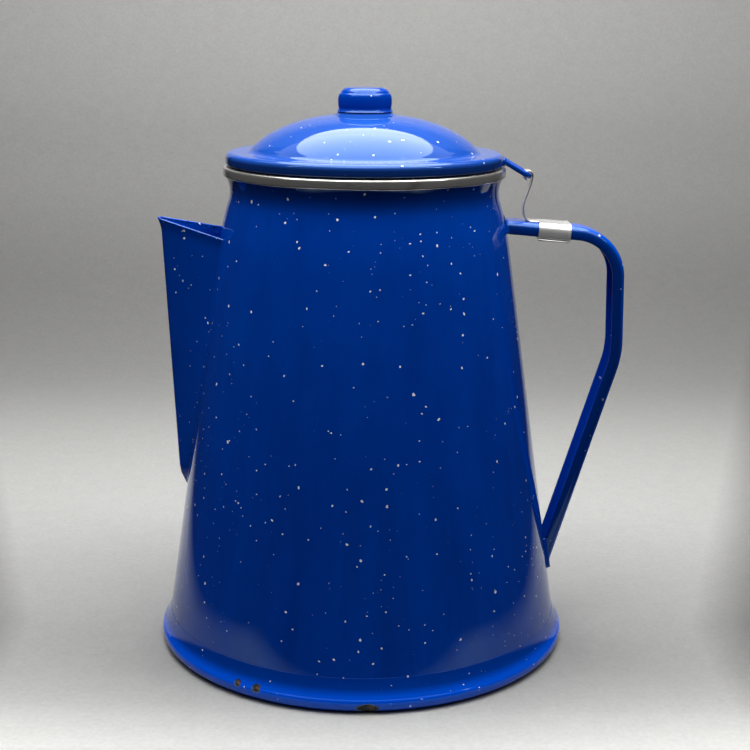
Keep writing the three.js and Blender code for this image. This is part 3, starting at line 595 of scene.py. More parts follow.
# ---- Pot body ----
def pot_body():
    inner_r = LIP_R - LIP_WALL
    inner_bend = NECK_BEND_R + SHELL_WALL
    flare = math.acos((NECK_CENTRE_R - inner_r) / inner_bend)
    heights = [FOOT_Z + (THROAT_Z - FOOT_Z) * i / 44 for i in range(45)]
    line = Outline(FOOT_R - SHELL_WALL, FOOT_Z)
    line.points += [(body_radius(z), z) for z in heights]
    line.arc(NECK_CENTRE_R, NECK_Z, NECK_BEND_R, math.pi + THROAT_ANGLE, math.pi - FLARE_ANGLE, 20)
    line.line(LIP_R, LIP_TOP_Z - LIP_HEIGHT).line(LIP_R, LIP_TOP_Z - LIP_ROUND)
    line.curve(LIP_R, LIP_TOP_Z, LIP_R - LIP_ROUND, LIP_TOP_Z, 5)
    line.curve(inner_r, LIP_TOP_Z, inner_r, LIP_TOP_Z - LIP_ROUND, 5)
    line.arc(NECK_CENTRE_R, NECK_Z, inner_bend, math.pi - flare, math.pi + THROAT_ANGLE, 14)
    line.points += [(body_radius(z) - SHELL_WALL, z) for z in reversed(heights[1:-2])]
    made = piece("pot_body", revolve(line.points), "pot", ENAMEL_SHADED_LOW, ["pot_shell"], 35)
    cut(made, strainer_drills())
    return made


def drill(centre, axis, radius, length, sides=20):
    """A closed cylinder as (points, faces)."""
    turn = Vector((0, 0, 1)).rotation_difference(Vector(axis))
    sections = []
    for z in (-length / 2, length / 2):
        ring = [Vector((radius * math.cos(a), radius * math.sin(a), z)) for a in round_angles(sides)]
        sections.append([Vector(centre) + turn @ p for p in ring])
    return loft(sections)


STRAINER_ROWS = 7
STRAINER_LOW_Z = 102
STRAINER_ROW_PITCH = 9
STRAINER_HOLE_PITCH = 7
STRAINER_HOLE_R = 1.8


def strainer_drills():
    """The rows of holes through the wall behind the spout."""
    drills = []
    for row in range(STRAINER_ROWS):
        z = STRAINER_LOW_Z + STRAINER_ROW_PITCH * row
        count = 1 if row == 0 else 3 + row % 2
        for i in range(count):
            y = (i - (count - 1) / 2) * STRAINER_HOLE_PITCH
            drills.append(drill((-body_radius(z), y, z), (1, 0, 0), STRAINER_HOLE_R, 12))
    return joined(*drills)


CHIPS = [
    # azimuth in degrees, height, half length along the bead, half height, on the base bead
    (-124.4, 6.0, 1.5, 1.3),
    (-118.4, 6.0, 1.9, 1.5),
    (-88.4, 2.6, 4.3, 2.1),
]
CHIP_SUNK = 0.38


def chip_depth(p):
    """How far into a chip a point lies: 0 outside, towards 1 in the middle."""
    if p.xy.length < PAN_FLAT_R or p.z > BEAD_TOP_Z:
        return 0
    deepest = 0
    for azimuth, height, length, half_height in CHIPS:
        turned = math.degrees(math.atan2(p.y, p.x)) - azimuth
        along = math.radians(turned) * BEAD_R / length
        up = (p.z - height) / half_height
        reach = math.hypot(along, up)
        if reach < 2:
            ragged = 0.22 * noise.noise(p * 0.9) + 0.12 * noise.noise(p * 2.6)
            deepest = max(deepest, 1 - smooth_step(0.55, 1.35, reach + ragged))
    return deepest


def base_pan():
    rim_inner = body_radius(BEAD_TOP_Z) + 0.02
    foot_inner = FOOT_R + 0.3
    line = Outline(0, 0).line(PAN_FLAT_R, 0, step=8).curve(BEAD_R, 0, BEAD_R, BEAD_Z, 26)
    line.curve(BEAD_R, COVE_END[1] - 0.6, *COVE_END, 10)
    line.curve(*COVE_CORNER, rim_inner + 0.1, BEAD_TOP_Z, 26)
    line.line(rim_inner - 0.3, BEAD_TOP_Z + 0.1)
    line.line(foot_inner, FOOT_Z).line(foot_inner - 0.6, PAN_FLOOR_Z).line(0, PAN_FLOOR_Z, step=8)
    angles = set(ROUND)
    for azimuth, _, length, _ in CHIPS:
        spread = 1.6 * length / BEAD_R
        fine = [math.radians(azimuth) + spread * (i / 30 - 1) for i in range(61)]
        angles |= {a % (2 * math.pi) for a in fine}
    points, faces = revolve(line.points, sorted(angles), closed=False)
    dented = []
    for p in points:
        here = Vector(p)
        depth = chip_depth(here)
        outward = Vector((here.x, here.y, 0)).normalized()
        dented.append(here - outward * CHIP_SUNK * smooth_step(0.3, 0.6, depth))
    shape = (dented, faces)
    return piece("base_pan", shape, "pot", ENAMEL_CHIPPED, ["base_pan"], 50, {"chip": chip_depth})


def rim_band():
    wall = BAND_WALL
    inner_r = BAND_INNER_R
    low, top = band_low.z, band_high.z
    line = Outline(BAND_R - wall, low + 0.7).curve(BAND_R - wall, low, BAND_R - 0.5, low, 3)
    line.curve(BAND_R, low + 0.1, BAND_R, low + 1.0, 6)
    line.line(BAND_R, top - 1.2, step=0.8)
    line.curve(BAND_R, top, BAND_R - 1.2, top, 8)
    line.line(inner_r + 0.8, top).curve(inner_r, top, inner_r, top - 0.8, 6)
    line.line(inner_r, top - 2.2).line(inner_r + wall, top - 2.2)
    line.line(inner_r + wall, top - wall).line(BAND_R - wall, top - wall)
    start, whole = BAND_SEAM + BAND_SEAM_GAP, 2 * math.pi - 2 * BAND_SEAM_GAP
    angles = [start + whole * i / 300 for i in range(301)]
    points, faces = revolve(line.points, angles, whole_turn=False)
    uneven = []
    for x, y, z in points:
        angle = math.atan2(y, x)
        wobble = BAND_WOBBLE * noise.noise(Vector((2.2 * math.cos(angle), 2.2 * math.sin(angle), 0)))
        uneven.append((x, y, z + wobble * smooth_step(low + 1.2, low, z)))
    oxide = {"oxide": seam_oxide}
    return piece("rim_band", (uneven, faces), "pot", BAND_STEEL, ["rim_band"], 40, oxide)


def seam_oxide(p):
    """1 at the band's seam, fading to both sides."""
    turned = abs(math.atan2(p.y, p.x) - BAND_SEAM)
    return 1 - smooth_step(0.004, 0.03, turned)


# ---- Spout ----
def nose_reach(z):
    """How far the spout's nose stands from the axis: straight, then run out into the wall at its foot."""
    straight = SPOUT_REACH + SPOUT_LEAN * (z - SPOUT_LOW_Z)
    run_out = share_between(SPOUT_LOW_Z, SPOUT_LOW_Z + SPOUT_RUN_OUT, z)
    buried = body_radius(z) - 0.3
    return buried + (straight - buried) * math.sin(run_out * math.pi / 2)


def spout_half_width(z):
    """Half the spout's width at the wall, which closes to a point at its foot."""
    closing = share_between(SPOUT_CLOSE_Z, SPOUT_LOW_Z - 1, z)
    return SPOUT_HALF_WIDTH * (1 - closing**2) ** SPOUT_CLOSE_POWER


def spout_point(height, x, y, nx, ny, inset):
    """A point of the spout's skin: flared at the lip, on a row that tips towards the rim's slope."""
    tip = ((height - SPOUT_LOW_Z) / (SPOUT_TOP_Z - SPOUT_LOW_Z)) ** 2
    flare = max(0, 1 - (SPOUT_TOP_Z - height) / SPOUT_LIP_HEIGHT) ** 2
    outward = flare * SPOUT_LIP * max(0.5, -nx) - inset
    px = x + nx * outward
    z = height - SPOUT_RIM_SLOPE * tip * (px + nose_reach(height))
    return Vector((px, y + ny * outward, z))


def spout_row(height, inset):
    """One section of the spout, from where one side leaves the body round the nose to the other."""
    half_width = spout_half_width(height)
    nose_r = min(SPOUT_NOSE_R, SPOUT_NOSE_SHARE * half_width)
    centre_x = -(nose_reach(height) - nose_r)
    joint_x = SPOUT_BURIED - math.sqrt(body_radius(height) ** 2 - half_width**2)
    along = Vector((joint_x - centre_x, half_width))
    side_normal = math.atan2(along.y, along.x) + math.acos(nose_r / along.length)
    nx, ny = math.cos(side_normal), math.sin(side_normal)
    touch = Vector((nx, ny)) * nose_r

    def side_point(share):
        at = along.lerp(touch, share)
        return spout_point(height, centre_x + at.x, at.y, nx, ny, inset)

    buried, clear = 0.0, 1.0
    for _ in range(24):
        middle = (buried + clear) / 2
        p = side_point(middle)
        if p.xy.length < body_radius(p.z) - SPOUT_SUNK:
            buried = middle
        else:
            clear = middle
    steps = SPOUT_SIDE_STEPS
    half = [side_point(buried + (1 - buried) * i / steps) for i in range(steps)]
    for i in range(SPOUT_NOSE_STEPS + 1):
        angle = side_normal + (math.pi - side_normal) * i / SPOUT_NOSE_STEPS
        out_x, out_y = math.cos(angle), math.sin(angle)
        half.append(spout_point(height, centre_x + nose_r * out_x, nose_r * out_y, out_x, out_y, inset))
    return half + [Vector((p.x, -p.y, p.z)) for p in reversed(half[:-1])]


def spout():
    rows = 44
    edge_r = SPOUT_WALL / 2
    top_z = SPOUT_TOP_Z - edge_r

    def heights(low_z):
        return [low_z + (top_z - low_z) * (1 - (1 - i / rows) ** 1.25) for i in range(rows + 1)]

    outer = [spout_row(z, 0) for z in heights(SPOUT_LOW_Z)]
    inner = [spout_row(z, SPOUT_WALL) for z in heights(SPOUT_LOW_Z + SPOUT_RUN_OUT)]
    rounded = []
    for step in range(1, SPOUT_RIM_STEPS):
        angle = math.pi * step / SPOUT_RIM_STEPS
        row = []
        for a, b in zip(outer[-1], inner[-1]):
            middle = (a + b) / 2
            row.append(middle + (a - middle) * math.cos(angle) + Vector((0, 0, edge_r * math.sin(angle))))
        rounded.append(row)
    sections = outer + rounded + inner[::-1]
    shape = loft([column[::-1] for column in zip(*sections)])
    return piece("spout", shape, "pot", ENAMEL_EDGE_WORN_SHADED, ["spout"], 45, {"edge": spout_edge})


def spout_edge(p):
    """1 just under the outer edge of the rim, fading downwards: the band of painted shade under the lip,
    with worn enamel.
    """
    rim_z = SPOUT_TOP_Z - SPOUT_RIM_SLOPE * (p.x + nose_reach(SPOUT_TOP_Z))
    below = rim_z - p.z
    return smooth_step(0.3, 0.7, below) * (1 - smooth_step(1.0, 2.0, below))


FILLET_SUNK = 0.6
FILLET_FULLNESS = 0.16


def fillet(name, joints, width):
    """A concave bead along a joint. Each entry is a point and two directions, one along each surface."""
    sections = []
    for at, first, second in joints:
        at, first, second = Vector(at), Vector(first).normalized(), Vector(second).normalized()
        section = [at - (first + second) * FILLET_SUNK * width]
        for i in range(7):
            t = i / 6
            pull = (first * (1 - t) ** 2 + second * t**2) * width
            section.append(at + pull + (first + second) * FILLET_FULLNESS * width * 2 * t * (1 - t))
        sections.append(section)
    return piece(name, loft(sections), "pot", ENAMEL_SHADED_LOW, (), 60)


def mirrored(joints):
    """The joints of a fillet's other side, in the reverse order."""
    return [[Vector((v[0], -v[1], v[2])) for v in joint] for joint in reversed(joints)]


def spout_fillet():
    """The fused enamel in the corner where the spout meets the body."""
    side = []
    rows = 60
    for i in range(rows + 1):
        height = SPOUT_TOP_Z - 0.8 - (SPOUT_TOP_Z - SPOUT_LOW_Z - 1.5) * (i / rows) ** 1.15
        row = spout_row(height, 0)
        start, toward = row[0], (row[2] - row[0]).normalized()
        normal = Vector((start.x, start.y, start.xy.length * CONE_SLOPE)).normalized()
        away = normal.cross(Vector((0, 0, 1))).normalized()
        if away.y < 0:
            away = -away
        side.append((start + normal * 0.5, toward, away))
    low = body_radius(SPOUT_LOW_Z)
    toe = (Vector((-low, 0, SPOUT_LOW_Z - 0.2)), Vector((-0.25, 0, 1)), Vector((0.15, 0, -1)))
    return fillet("spout_fillet", side + [toe] + mirrored(side), 1.1)


# ---- Handle ----
HANDLE_ROOT = (58.2, 186.36, 0)
HANDLE_FOOT_Z = 31.4
FLANGE_FOOT_Z = 44.8
STRAP_MIDDLE_Z = 184.5


def channel_section():
    """The strap's section as (across, depth from its outer face)."""
    half = HANDLE_WIDTH / 2
    wall = HANDLE_WALL
    bend = HANDLE_CORNER_R
    lip = wall / 2
    tip = HANDLE_DEPTH
    line = Outline(-half, tip - lip).line(-half, bend, step=1)
    line.arc(-half + bend, bend, bend, math.pi, 1.5 * math.pi, 8)
    line.line(half - bend, 0, step=1.5)
    line.arc(half - bend, bend, bend, 1.5 * math.pi, 2 * math.pi, 8)
    line.line(half, tip - lip, step=1)
    line.arc(half - lip, tip - lip, lip, 0, math.pi, 6)
    line.line(half - wall, bend, step=1)
    line.arc(half - bend, bend, bend - wall, 0, -math.pi / 2, 6)
    line.line(-half + bend, wall, step=1.5)
    line.arc(-half + bend, bend, bend - wall, 1.5 * math.pi, math.pi, 6)
    line.line(-half + wall, tip - lip, step=1)
    line.arc(-half + lip, tip - lip, lip, 0, math.pi, 6)
    return tidy(line.points)[:-1]


def headings(path):
    """The direction of a path at each of its points."""
    ends = [path[0], *path, path[-1]]
    steps = [[b - a for a, b in zip(before, after)] for before, after in zip(ends, ends[2:])]
    return [Vector(step).normalized() for step in steps]


def along_path(path, section):
    """Sections set square to a path in the XZ plane, as lists of points. Depth runs to its inner side."""
    placed = []
    for (x, z), tangent in zip(path, headings(path)):
        inward = Vector((tangent.y, -tangent.x))
        placed.append([Vector((x + inward.x * d, y, z + inward.y * d)) for y, d in section])
    return placed


def strap_path():
    """The line of the handle's outer face, from its root down to its foot."""
    return tidy(bent_path([HANDLE_ROOT] + HANDLE_CORNERS[1:], 22))


def handle():
    sections = along_path(strap_path(), channel_section())
    for section in sections:
        for p in section:
            least = body_radius(p.z) - 0.6
            if p.xy.length < least:
                p.x = math.sqrt(least**2 - p.y**2)
    shape = turned_out(loft(sections))
    return piece("handle", shape, "pot", ENAMEL_HANDLE_LIT_SHADED, ["handle"], 50, {"side": handle_side_shade})


def handle_side_shade(p):
    """1 on the strap's two sides, fading round its corners, where painted shade darkens the strap."""
    return smooth_step(HANDLE_WIDTH / 2 - 1.3, HANDLE_WIDTH / 2 - 0.3, abs(p.y))


def wall_point(y, z):
    """The point of the body's wall on the handle's side."""
    return Vector((math.sqrt(body_radius(z) ** 2 - y**2), y, z))


def handle_root_fillet():
    """Fused enamel where the strap's upper end meets the body."""
    outer_points = 34
    root = along_path(strap_path()[:3], channel_section()[:outer_points])[0]
    joints = []
    for p, tangent in zip(root, headings(root)):
        at = wall_point(p.y, p.z)
        outward = tangent.cross(Vector((at.x, at.y, 0)).normalized()).normalized()
        if outward.dot(Vector((0, p.y, p.z - STRAP_MIDDLE_Z))) < 0:
            outward = -outward
        joints.append((at, (1, 0, 0), outward))
    return fillet("handle_root_fillet", joints, 1.3)


def handle_foot_fillet():
    """Fused enamel round the strap's lower end: down one side, under its foot and up the other."""
    half = HANDLE_WIDTH / 2
    side = []
    for i in range(13):
        z = FLANGE_FOOT_Z - (FLANGE_FOOT_Z - HANDLE_FOOT_Z) * i / 12
        side.append((wall_point(half, z), (1, 0, 0.1), (-0.1, 1, 0)))
    corner = wall_point(half, HANDLE_FOOT_Z) - Vector((0, 0.3, 0.2))
    side.append((corner, (1, 0, 0.4), (-0.1, 0.7, -0.7)))
    bottom = []
    for i in range(9):
        at = wall_point((half - 1.2) * (1 - i / 4), HANDLE_FOOT_Z) - Vector((0, 0, 0.3))
        bottom.append((at, (0.5, 0, 1), (0.15, 0, -1)))
    return fillet("handle_foot_fillet", side + bottom + mirrored(side), 1.5)


# ---- Lid hinge ----
def strip_section(width, wall):
    """A flat strip's section with its corners taken off, as (across, depth)."""
    half = width / 2
    soft = wall * 0.3
    upper = [(-half, soft - wall / 2), (soft - half, -wall / 2), (half - soft, -wall / 2)]
    upper.append((half, soft - wall / 2))
    return upper + [(y, -d) for y, d in reversed(upper)]


def collar_outline(half, top, bottom, bend, low_bend):
    """The collar's rounded section as (across, up)."""
    line = Outline(-half + low_bend, bottom).line(half - low_bend, bottom, step=1)
    line.arc(half - low_bend, bottom + low_bend, low_bend, -math.pi / 2, 0, 5)
    line.line(half, top - bend, step=1)
    line.arc(half - bend, top - bend, bend, 0, math.pi / 2, 10)
    line.line(-half + bend, top, step=1)
    line.arc(-half + bend, top - bend, bend, math.pi / 2, math.pi, 10)
    line.line(-half, bottom + low_bend, step=1)
    line.arc(-half + low_bend, bottom + low_bend, low_bend, math.pi, 1.5 * math.pi, 5)
    return tidy(line.points)[:-1]


(STRAP_X, STRAP_Z, _), (BEND_X, BEND_Z, _) = HANDLE_CORNERS[:2]
FALL = math.atan2(STRAP_Z - BEND_Z, BEND_X - STRAP_X)
COLLAR_TOP_Z = STRAP_Z - math.tan(FALL) * (COLLAR_START_X - STRAP_X)
COLLAR_HALF = HANDLE_WIDTH / 2 + 0.05
COLLAR_LOW = -HANDLE_DEPTH - 0.15
SEAM_R = 0.42


def on_strap(distance, section):
    """A section of (across, up) set square to the strap's top run, a distance from the collar's start."""
    along = Vector((math.cos(FALL), 0, -math.sin(FALL)))
    up = Vector((math.sin(FALL), 0, math.cos(FALL)))
    start = Vector((COLLAR_START_X, 0, COLLAR_TOP_Z))
    return [start + along * distance + Vector((0, y, 0)) + up * z for y, z in section]


def clip_collar():
    """The clip's band round the strap. Its two edges turn out a little, the far one more."""
    flare = [(0, 0.10), (0.35, 0.02), (0.9, 0), (COLLAR_LENGTH - 1.5, 0), (COLLAR_LENGTH - 1.0, 0.05)]
    flare += [(COLLAR_LENGTH - 0.55, 0.24), (COLLAR_LENGTH - 0.15, 0.30), (COLLAR_LENGTH, 0.24)]

    def ring(distance, grow):
        bend = HANDLE_CORNER_R + grow
        outline = collar_outline(COLLAR_HALF + grow, 0.05 + grow, COLLAR_LOW - grow, bend, 0.6 + grow)
        return on_strap(distance, outline)

    outer = [ring(d, CLIP_WALL + g) for d, g in flare]
    inner = [ring(d, g * 0.6) for d, g in reversed(flare)]
    return turned_out(loft(outer + inner + [outer[0]], caps=False))


def clip_seam():
    """The folded lap under the strap, where the collar's ends meet."""
    top = COLLAR_LOW - CLIP_WALL + 0.02
    sections = []
    for distance in (0.3, 0.5, COLLAR_LENGTH - 0.7, COLLAR_LENGTH - 0.5):
        inset = 0 if 0.4 < distance < COLLAR_LENGTH - 0.6 else 0.15
        line = Outline(-COLLAR_HALF * 0.55, top).line(COLLAR_HALF + 0.25, top, step=1.5)
        line.arc(COLLAR_HALF + 0.15, top - SEAM_R, SEAM_R - inset, math.pi / 2, -math.pi / 2, 6)
        line.line(-COLLAR_HALF * 0.55, top - 0.75 + inset, step=1.5)
        sections.append(on_strap(distance, [(-y, z) for y, z in tidy(line.points)]))
    return loft(sections)


def clip_tongue():
    """The tongue that rises from the collar and rolls into the eye round the loop's bar."""
    eye_r = WIRE_R + EYE_CLEARANCE + CLIP_WALL / 2
    root_z = COLLAR_TOP_Z + 0.05 + CLIP_WALL / 2
    bow_x, bow_z = TONGUE_BOW
    roll_x = HINGE_X + eye_r
    line = Outline(COLLAR_START_X + 1.2, root_z - 1.2 * math.tan(FALL))
    line.line(TONGUE_ROOT_X, root_z, step=0.8)
    line.bezier(TONGUE_ROOT_X - TONGUE_PULL, root_z, bow_x, bow_z - TONGUE_PULL, bow_x, bow_z, 16)
    line.bezier(bow_x, bow_z + TONGUE_PULL, roll_x, HINGE_Z - TONGUE_PULL, roll_x, HINGE_Z, 20)
    line.arc(HINGE_X, HINGE_Z, eye_r, 0, EYE_TURN, 32)
    return turned_out(loft(along_path(tidy(line.points), strip_section(TONGUE_WIDTH, CLIP_WALL))))


def hinge_clip():
    shape = joined(clip_collar(), clip_seam(), clip_tongue())
    oxide = {"oxide": eye_oxide}
    return piece("hinge_clip", shape, "pot", CLIP_STEEL, ["hinge_clip"], 40, oxide)


def eye_oxide(p):
    """Black inside the rolled eye, fading through its wall."""
    deep = math.hypot(p.x - HINGE_X, p.z - HINGE_Z) - WIRE_R - EYE_CLEARANCE
    return 0.9 * (1 - smooth_step(0.1, 0.5, deep))


def wire_along(points):
    """A round wire through 3-D points."""
    sections = []
    for p, tangent in zip(points, headings(points)):
        side = tangent.cross(Vector((0.46, 0, 0.89))).normalized()
        up = side.cross(tangent)
        sections.append([p + (side * math.cos(a) + up * math.sin(a)) * WIRE_R for a in WIRE_ROUND])
    return loft(sections)


def hinge_loop():
    start = Vector((LOOP_START[0], 0, LOOP_START[1]))
    leg = Vector((HINGE_X - LOOP_START[0], 0, HINGE_Z - LOOP_START[1]))
    length = leg.length
    half = LOOP_HALF_WIDTH
    corners = [(-LOOP_BURIED, -half, 0), (length, -half, LOOP_BEND_R)]
    corners += [(length, half, LOOP_BEND_R), (-LOOP_BURIED, half, 0)]
    path = [start + leg * (x / length) + Vector((0, y, 0)) for x, y in tidy(bent_path(corners, 12))]
    wear = {"edge": bar_wear}
    shape = wire_along(path)
    return piece("hinge_loop", shape, "lid", ENAMEL_EDGE_WORN_SHADED, ["hinge_loop"], 60, wear)


def bar_wear(p):
    """1 on the bar inside the eye, where the enamel is rubbed thin, and 0 elsewhere."""
    return float(abs(p.y) <= TONGUE_WIDTH / 2 + 1 and p.x >= HINGE_X - 2.5)


def loop_welds():
    """The two flattened blobs that hold the loop to the lid's rim."""
    profile = []
    for i in range(15):
        angle = math.pi * (1 - i / 14)
        profile.append((WELD_R * math.sin(angle), WELD_HEIGHT * math.cos(angle)))
    points, faces = revolve(profile, round_angles(32), closed=False)
    outward = Matrix.Rotation(math.pi / 2, 3, "Y")
    blobs = []
    for y in (-LOOP_HALF_WIDTH, LOOP_HALF_WIDTH):
        at = Vector((math.sqrt(LID_R**2 - y * y) + 0.1, y, LOOP_START[1] + 0.35))
        blobs.append(([at + outward @ Vector(p) for p in points], faces))
    return piece("loop_welds", joined(*blobs), "lid", ENAMEL, (), 60)


# ---- Lid ----
def lid_shell():
    wall = LID_WALL
    turn = LID_SHOULDER_R
    crown, ledge = LID_CROWN_Z, LID_LEDGE_Z
    foot_r, foot_z = DOME_FOOT
    top_r, top_z = DOME_TOP
    low_r, low_z, high_r, high_z = DOME_PULLS
    inner_r = LID_R - wall
    line = Outline(0, crown - wall).line(LID_CROWN_R - wall, crown - wall, step=3)
    line.curve(LID_CROWN_R, top_z - wall, top_r, top_z - wall)
    line.bezier(high_r, high_z - wall, low_r - wall, low_z, foot_r - wall, foot_z, 36)
    line.curve(foot_r, ledge - wall, LID_LEDGE_R, ledge - wall)
    line.line(LID_R - turn, ledge - wall).curve(inner_r, ledge - wall, inner_r, ledge - turn)
    line.line(inner_r, LID_BOTTOM_Z + 0.5)
    line.curve(LID_R - wall / 2, LID_BOTTOM_Z - 0.5, LID_R, LID_BOTTOM_Z + 0.5, 10)
    line.line(LID_R, ledge - turn, step=0.8)
    line.arc(LID_R - turn, ledge - turn, turn, 0, math.pi / 2, 16)
    line.line(LID_LEDGE_R, ledge, step=1.5).curve(foot_r + wall, ledge, foot_r, foot_z, 10)
    line.bezier(*DOME_PULLS, top_r, top_z, 44)
    line.curve(LID_CROWN_R + 0.4, top_z + 0.3, LID_CROWN_R, crown, 14)
    line.line(0, crown, step=3)
    shape = revolve(line.points, closed=False)
    return piece("lid_shell", shape, "lid", ENAMEL_LID, ["lid_shell"], 40)


def lid_skirt():
    low, high = box_mm("lid_skirt")
    wall = SKIRT_WALL
    outer, inner = high.x, high.x - wall
    foot, flange = low.z + 0.3, high.z
    line = Outline(inner, foot).curve(outer - wall / 2, low.z - 0.3, outer, foot, 6)
    line.line(outer, flange - 1, step=1.5).curve(outer, flange, outer - 1, flange, 6)
    line.line(SKIRT_FLANGE_R, flange).line(SKIRT_FLANGE_R, flange - wall)
    line.line(inner - 0.6, flange - wall).curve(inner, flange - wall, inner, flange - wall - 0.6, 4)
    line.line(inner, foot, step=1.5)
    return piece("lid_skirt", revolve(line.points), "lid", ENAMEL, ["lid_skirt"], 50)


def lid_knob():
    """A hollow button: narrow at its foot, widest low down, with rounded shoulders and a flat top."""
    foot = LID_CROWN_Z + 0.05
    belly = LID_CROWN_Z + KNOB_BELLY
    pull = belly + KNOB_BELLY
    top, roof = KNOB_TOP_Z, KNOB_TOP_Z - KNOB_WALL
    inner_r = KNOB_R - KNOB_WALL
    shoulder_r, shoulder_z = KNOB_SHOULDER_R, top - KNOB_SHOULDER
    line = Outline(0, roof).line(KNOB_FLAT_R, roof, step=2)
    line.curve(shoulder_r - 2, roof, shoulder_r - 1, shoulder_z - 0.5)
    line.curve(inner_r, pull, inner_r, belly)
    line.line(KNOB_R - 1.5, foot).line(KNOB_R - 0.5, foot)
    line.curve(KNOB_R, foot + 1, KNOB_R, belly, 14)
    line.curve(KNOB_R, pull, shoulder_r, shoulder_z, 14)
    line.curve(shoulder_r - 1, top, KNOB_FLAT_R, top, 14)
    line.line(0, top, step=2)
    shape = revolve(line.points, SMALL_ROUND, closed=False)
    return piece("lid_knob", shape, "lid", ENAMEL, ["lid_knob"], 50)


def knob_fillet():
    """Fused enamel round the knob's foot."""
    crown = LID_CROWN_Z
    line = Outline(LID_CROWN_R - 1.4, crown - 0.4).line(LID_CROWN_R + 1.0, crown - 0.8)
    line.curve(LID_CROWN_R + 0.15, crown - 0.1, LID_CROWN_R + 0.1, crown + 1.1, 10)
    line.line(LID_CROWN_R - 1.2, crown + 1.0)
    return piece("knob_fillet", revolve(line.points, SMALL_ROUND), "lid", ENAMEL, (), 60)


# ---- Pump, basket and spreader ----
def spun(name, body, line, closed=True):
    """An aluminium part turned round the pot's axis, which stands for the node of its own name."""
    shape = revolve(line.points, SMALL_ROUND, closed)
    return piece(name, shape, body, ALUMINIUM, [name], 40)


def pump_tube():
    low, high = box_mm("pump_tube")
    inner = TUBE_R - 0.75
    line = Outline(inner, low.z).line(TUBE_R, low.z).line(TUBE_R, high.z - 0.4, step=8)
    line.curve(TUBE_R, high.z, TUBE_R - 0.375, high.z, 4).curve(inner, high.z, inner, high.z - 0.4, 4)
    line.line(inner, low.z, step=8)
    return spun("pump_tube", "pump", line)


def pump_foot():
    low, high = box_mm("pump_foot")
    foot = low.z
    outer = high.x
    collar = TUBE_R + 0.3
    line = Outline(outer - 1, foot).line(outer, foot).line(outer, foot + 1.2)
    line.curve(24, 6.5, 15, 13, 18).curve(8, 17.5, collar + 1, high.z, 18)
    line.line(collar, high.z).line(collar, 17).curve(8.5, 15, 13.6, 12, 12)
    line.curve(23, 5.6, outer - 1, foot + 0.8, 18)
    made = spun("pump_foot", "pump", line)
    notches = []
    for i in range(6):
        angle = (i + 0.5) * math.pi / 3
        along = Vector((math.cos(angle), math.sin(angle), 0))
        notches.append(drill(along * outer + Vector((0, 0, foot - 1.6)), along, 3.2, 9, 28))
    cut(made, joined(*notches))
    return made


def valve_seat():
    low, high = box_mm("valve_seat")
    outer, inner, inlet = high.x, high.x - SHEET, 3.2
    floor = low.z + SHEET
    line = Outline(inlet, low.z).line(outer - 1, low.z, step=2).curve(outer, low.z, outer, low.z + 1, 6)
    line.line(outer, high.z, step=2).line(inner, high.z).line(inner, low.z + 1.2, step=2)
    line.curve(inner, floor, outer - 1.2, floor, 5).line(inlet, floor)
    return spun("valve_seat", "pump", line)


def valve_disc():
    low, high = box_mm("valve_disc")
    edge, bevel = high.x, 0.2
    sunk = high.z - 0.15
    line = Outline(0, low.z).line(edge - bevel, low.z, step=2)
    line.line(edge, low.z + bevel).line(edge, high.z - bevel).line(edge - bevel, high.z)
    line.line(edge - 1.8, high.z).curve(edge - 2.2, sunk, edge - 2.6, sunk, 3)
    line.line(0, sunk, step=2)
    return spun("valve_disc", "valve", line, closed=False)


def basket_stop():
    low, high = box_mm("basket_stop")
    inner = TUBE_R + 0.05
    line = Outline(inner, low.z).line(high.x - 0.4, low.z).curve(high.x, low.z, high.x, low.z + 0.4, 4)
    line.line(high.x, high.z - 0.4).curve(high.x, high.z, high.x - 0.4, high.z, 4).line(inner, high.z)
    return spun("basket_stop", "pump", line)


def drill_rings(radii, hole_r, pitch, low_z, high_z):
    """Rows of drills round the axis, each row an equal pitch along its circle."""
    drills = []
    for row, ring_r in enumerate(radii):
        count = round(2 * math.pi * ring_r / pitch)
        for i in range(count):
            angle = 2 * math.pi * (i + row % 2 / 2) / count
            centre = (ring_r * math.cos(angle), ring_r * math.sin(angle), (low_z + high_z) / 2)
            drills.append(drill(centre, (0, 0, 1), hole_r, high_z - low_z, 12))
    return joined(*drills)


def coffee_basket():
    bottom, brim = box_mm("coffee_basket")
    sleeve_r = 6.5
    low, top, rim_r = bottom.z, brim.z, brim.x
    floor = low + SHEET
    top_r = rim_r - 1.6
    inner_r = top_r - SHEET
    foot_r = top_r - 2.4
    line = Outline(sleeve_r, low).line(foot_r - 2.5, low, step=2)
    line.curve(foot_r, low, foot_r, low + 2.5, 8)
    line.line(top_r, top - 1.6, step=4).curve(top_r + 0.1, top - 1.3, top_r + 0.4, top - 1.5, 3)
    line.curve(rim_r - 0.1, top - 1.9, rim_r, top - 0.8, 6).curve(rim_r, top, rim_r - 0.8, top, 6)
    line.line(inner_r + 0.3, top).curve(inner_r, top, inner_r, top - 0.4, 4)
    line.line(foot_r - SHEET, low + 2.8, step=4)
    line.curve(foot_r - SHEET, floor, foot_r - 2.8, floor, 6).line(sleeve_r, floor, step=2)
    made = spun("coffee_basket", "basket", line)
    cut(made, drill_rings([11, 16, 21, 26, 31, 36], 0.9, 5.2, low - 1, low + 2))
    return made


def basket_sleeve():
    low, high = box_mm("basket_sleeve")
    inner = high.x - SHEET
    line = Outline(inner, low.z).line(high.x, low.z).line(high.x, high.z - 0.6, step=6)
    line.curve(high.x, high.z, inner + 0.4, high.z, 4).curve(inner, high.z, inner, high.z - 0.4, 4)
    line.line(inner, low.z, step=6)
    return spun("basket_sleeve", "basket", line)


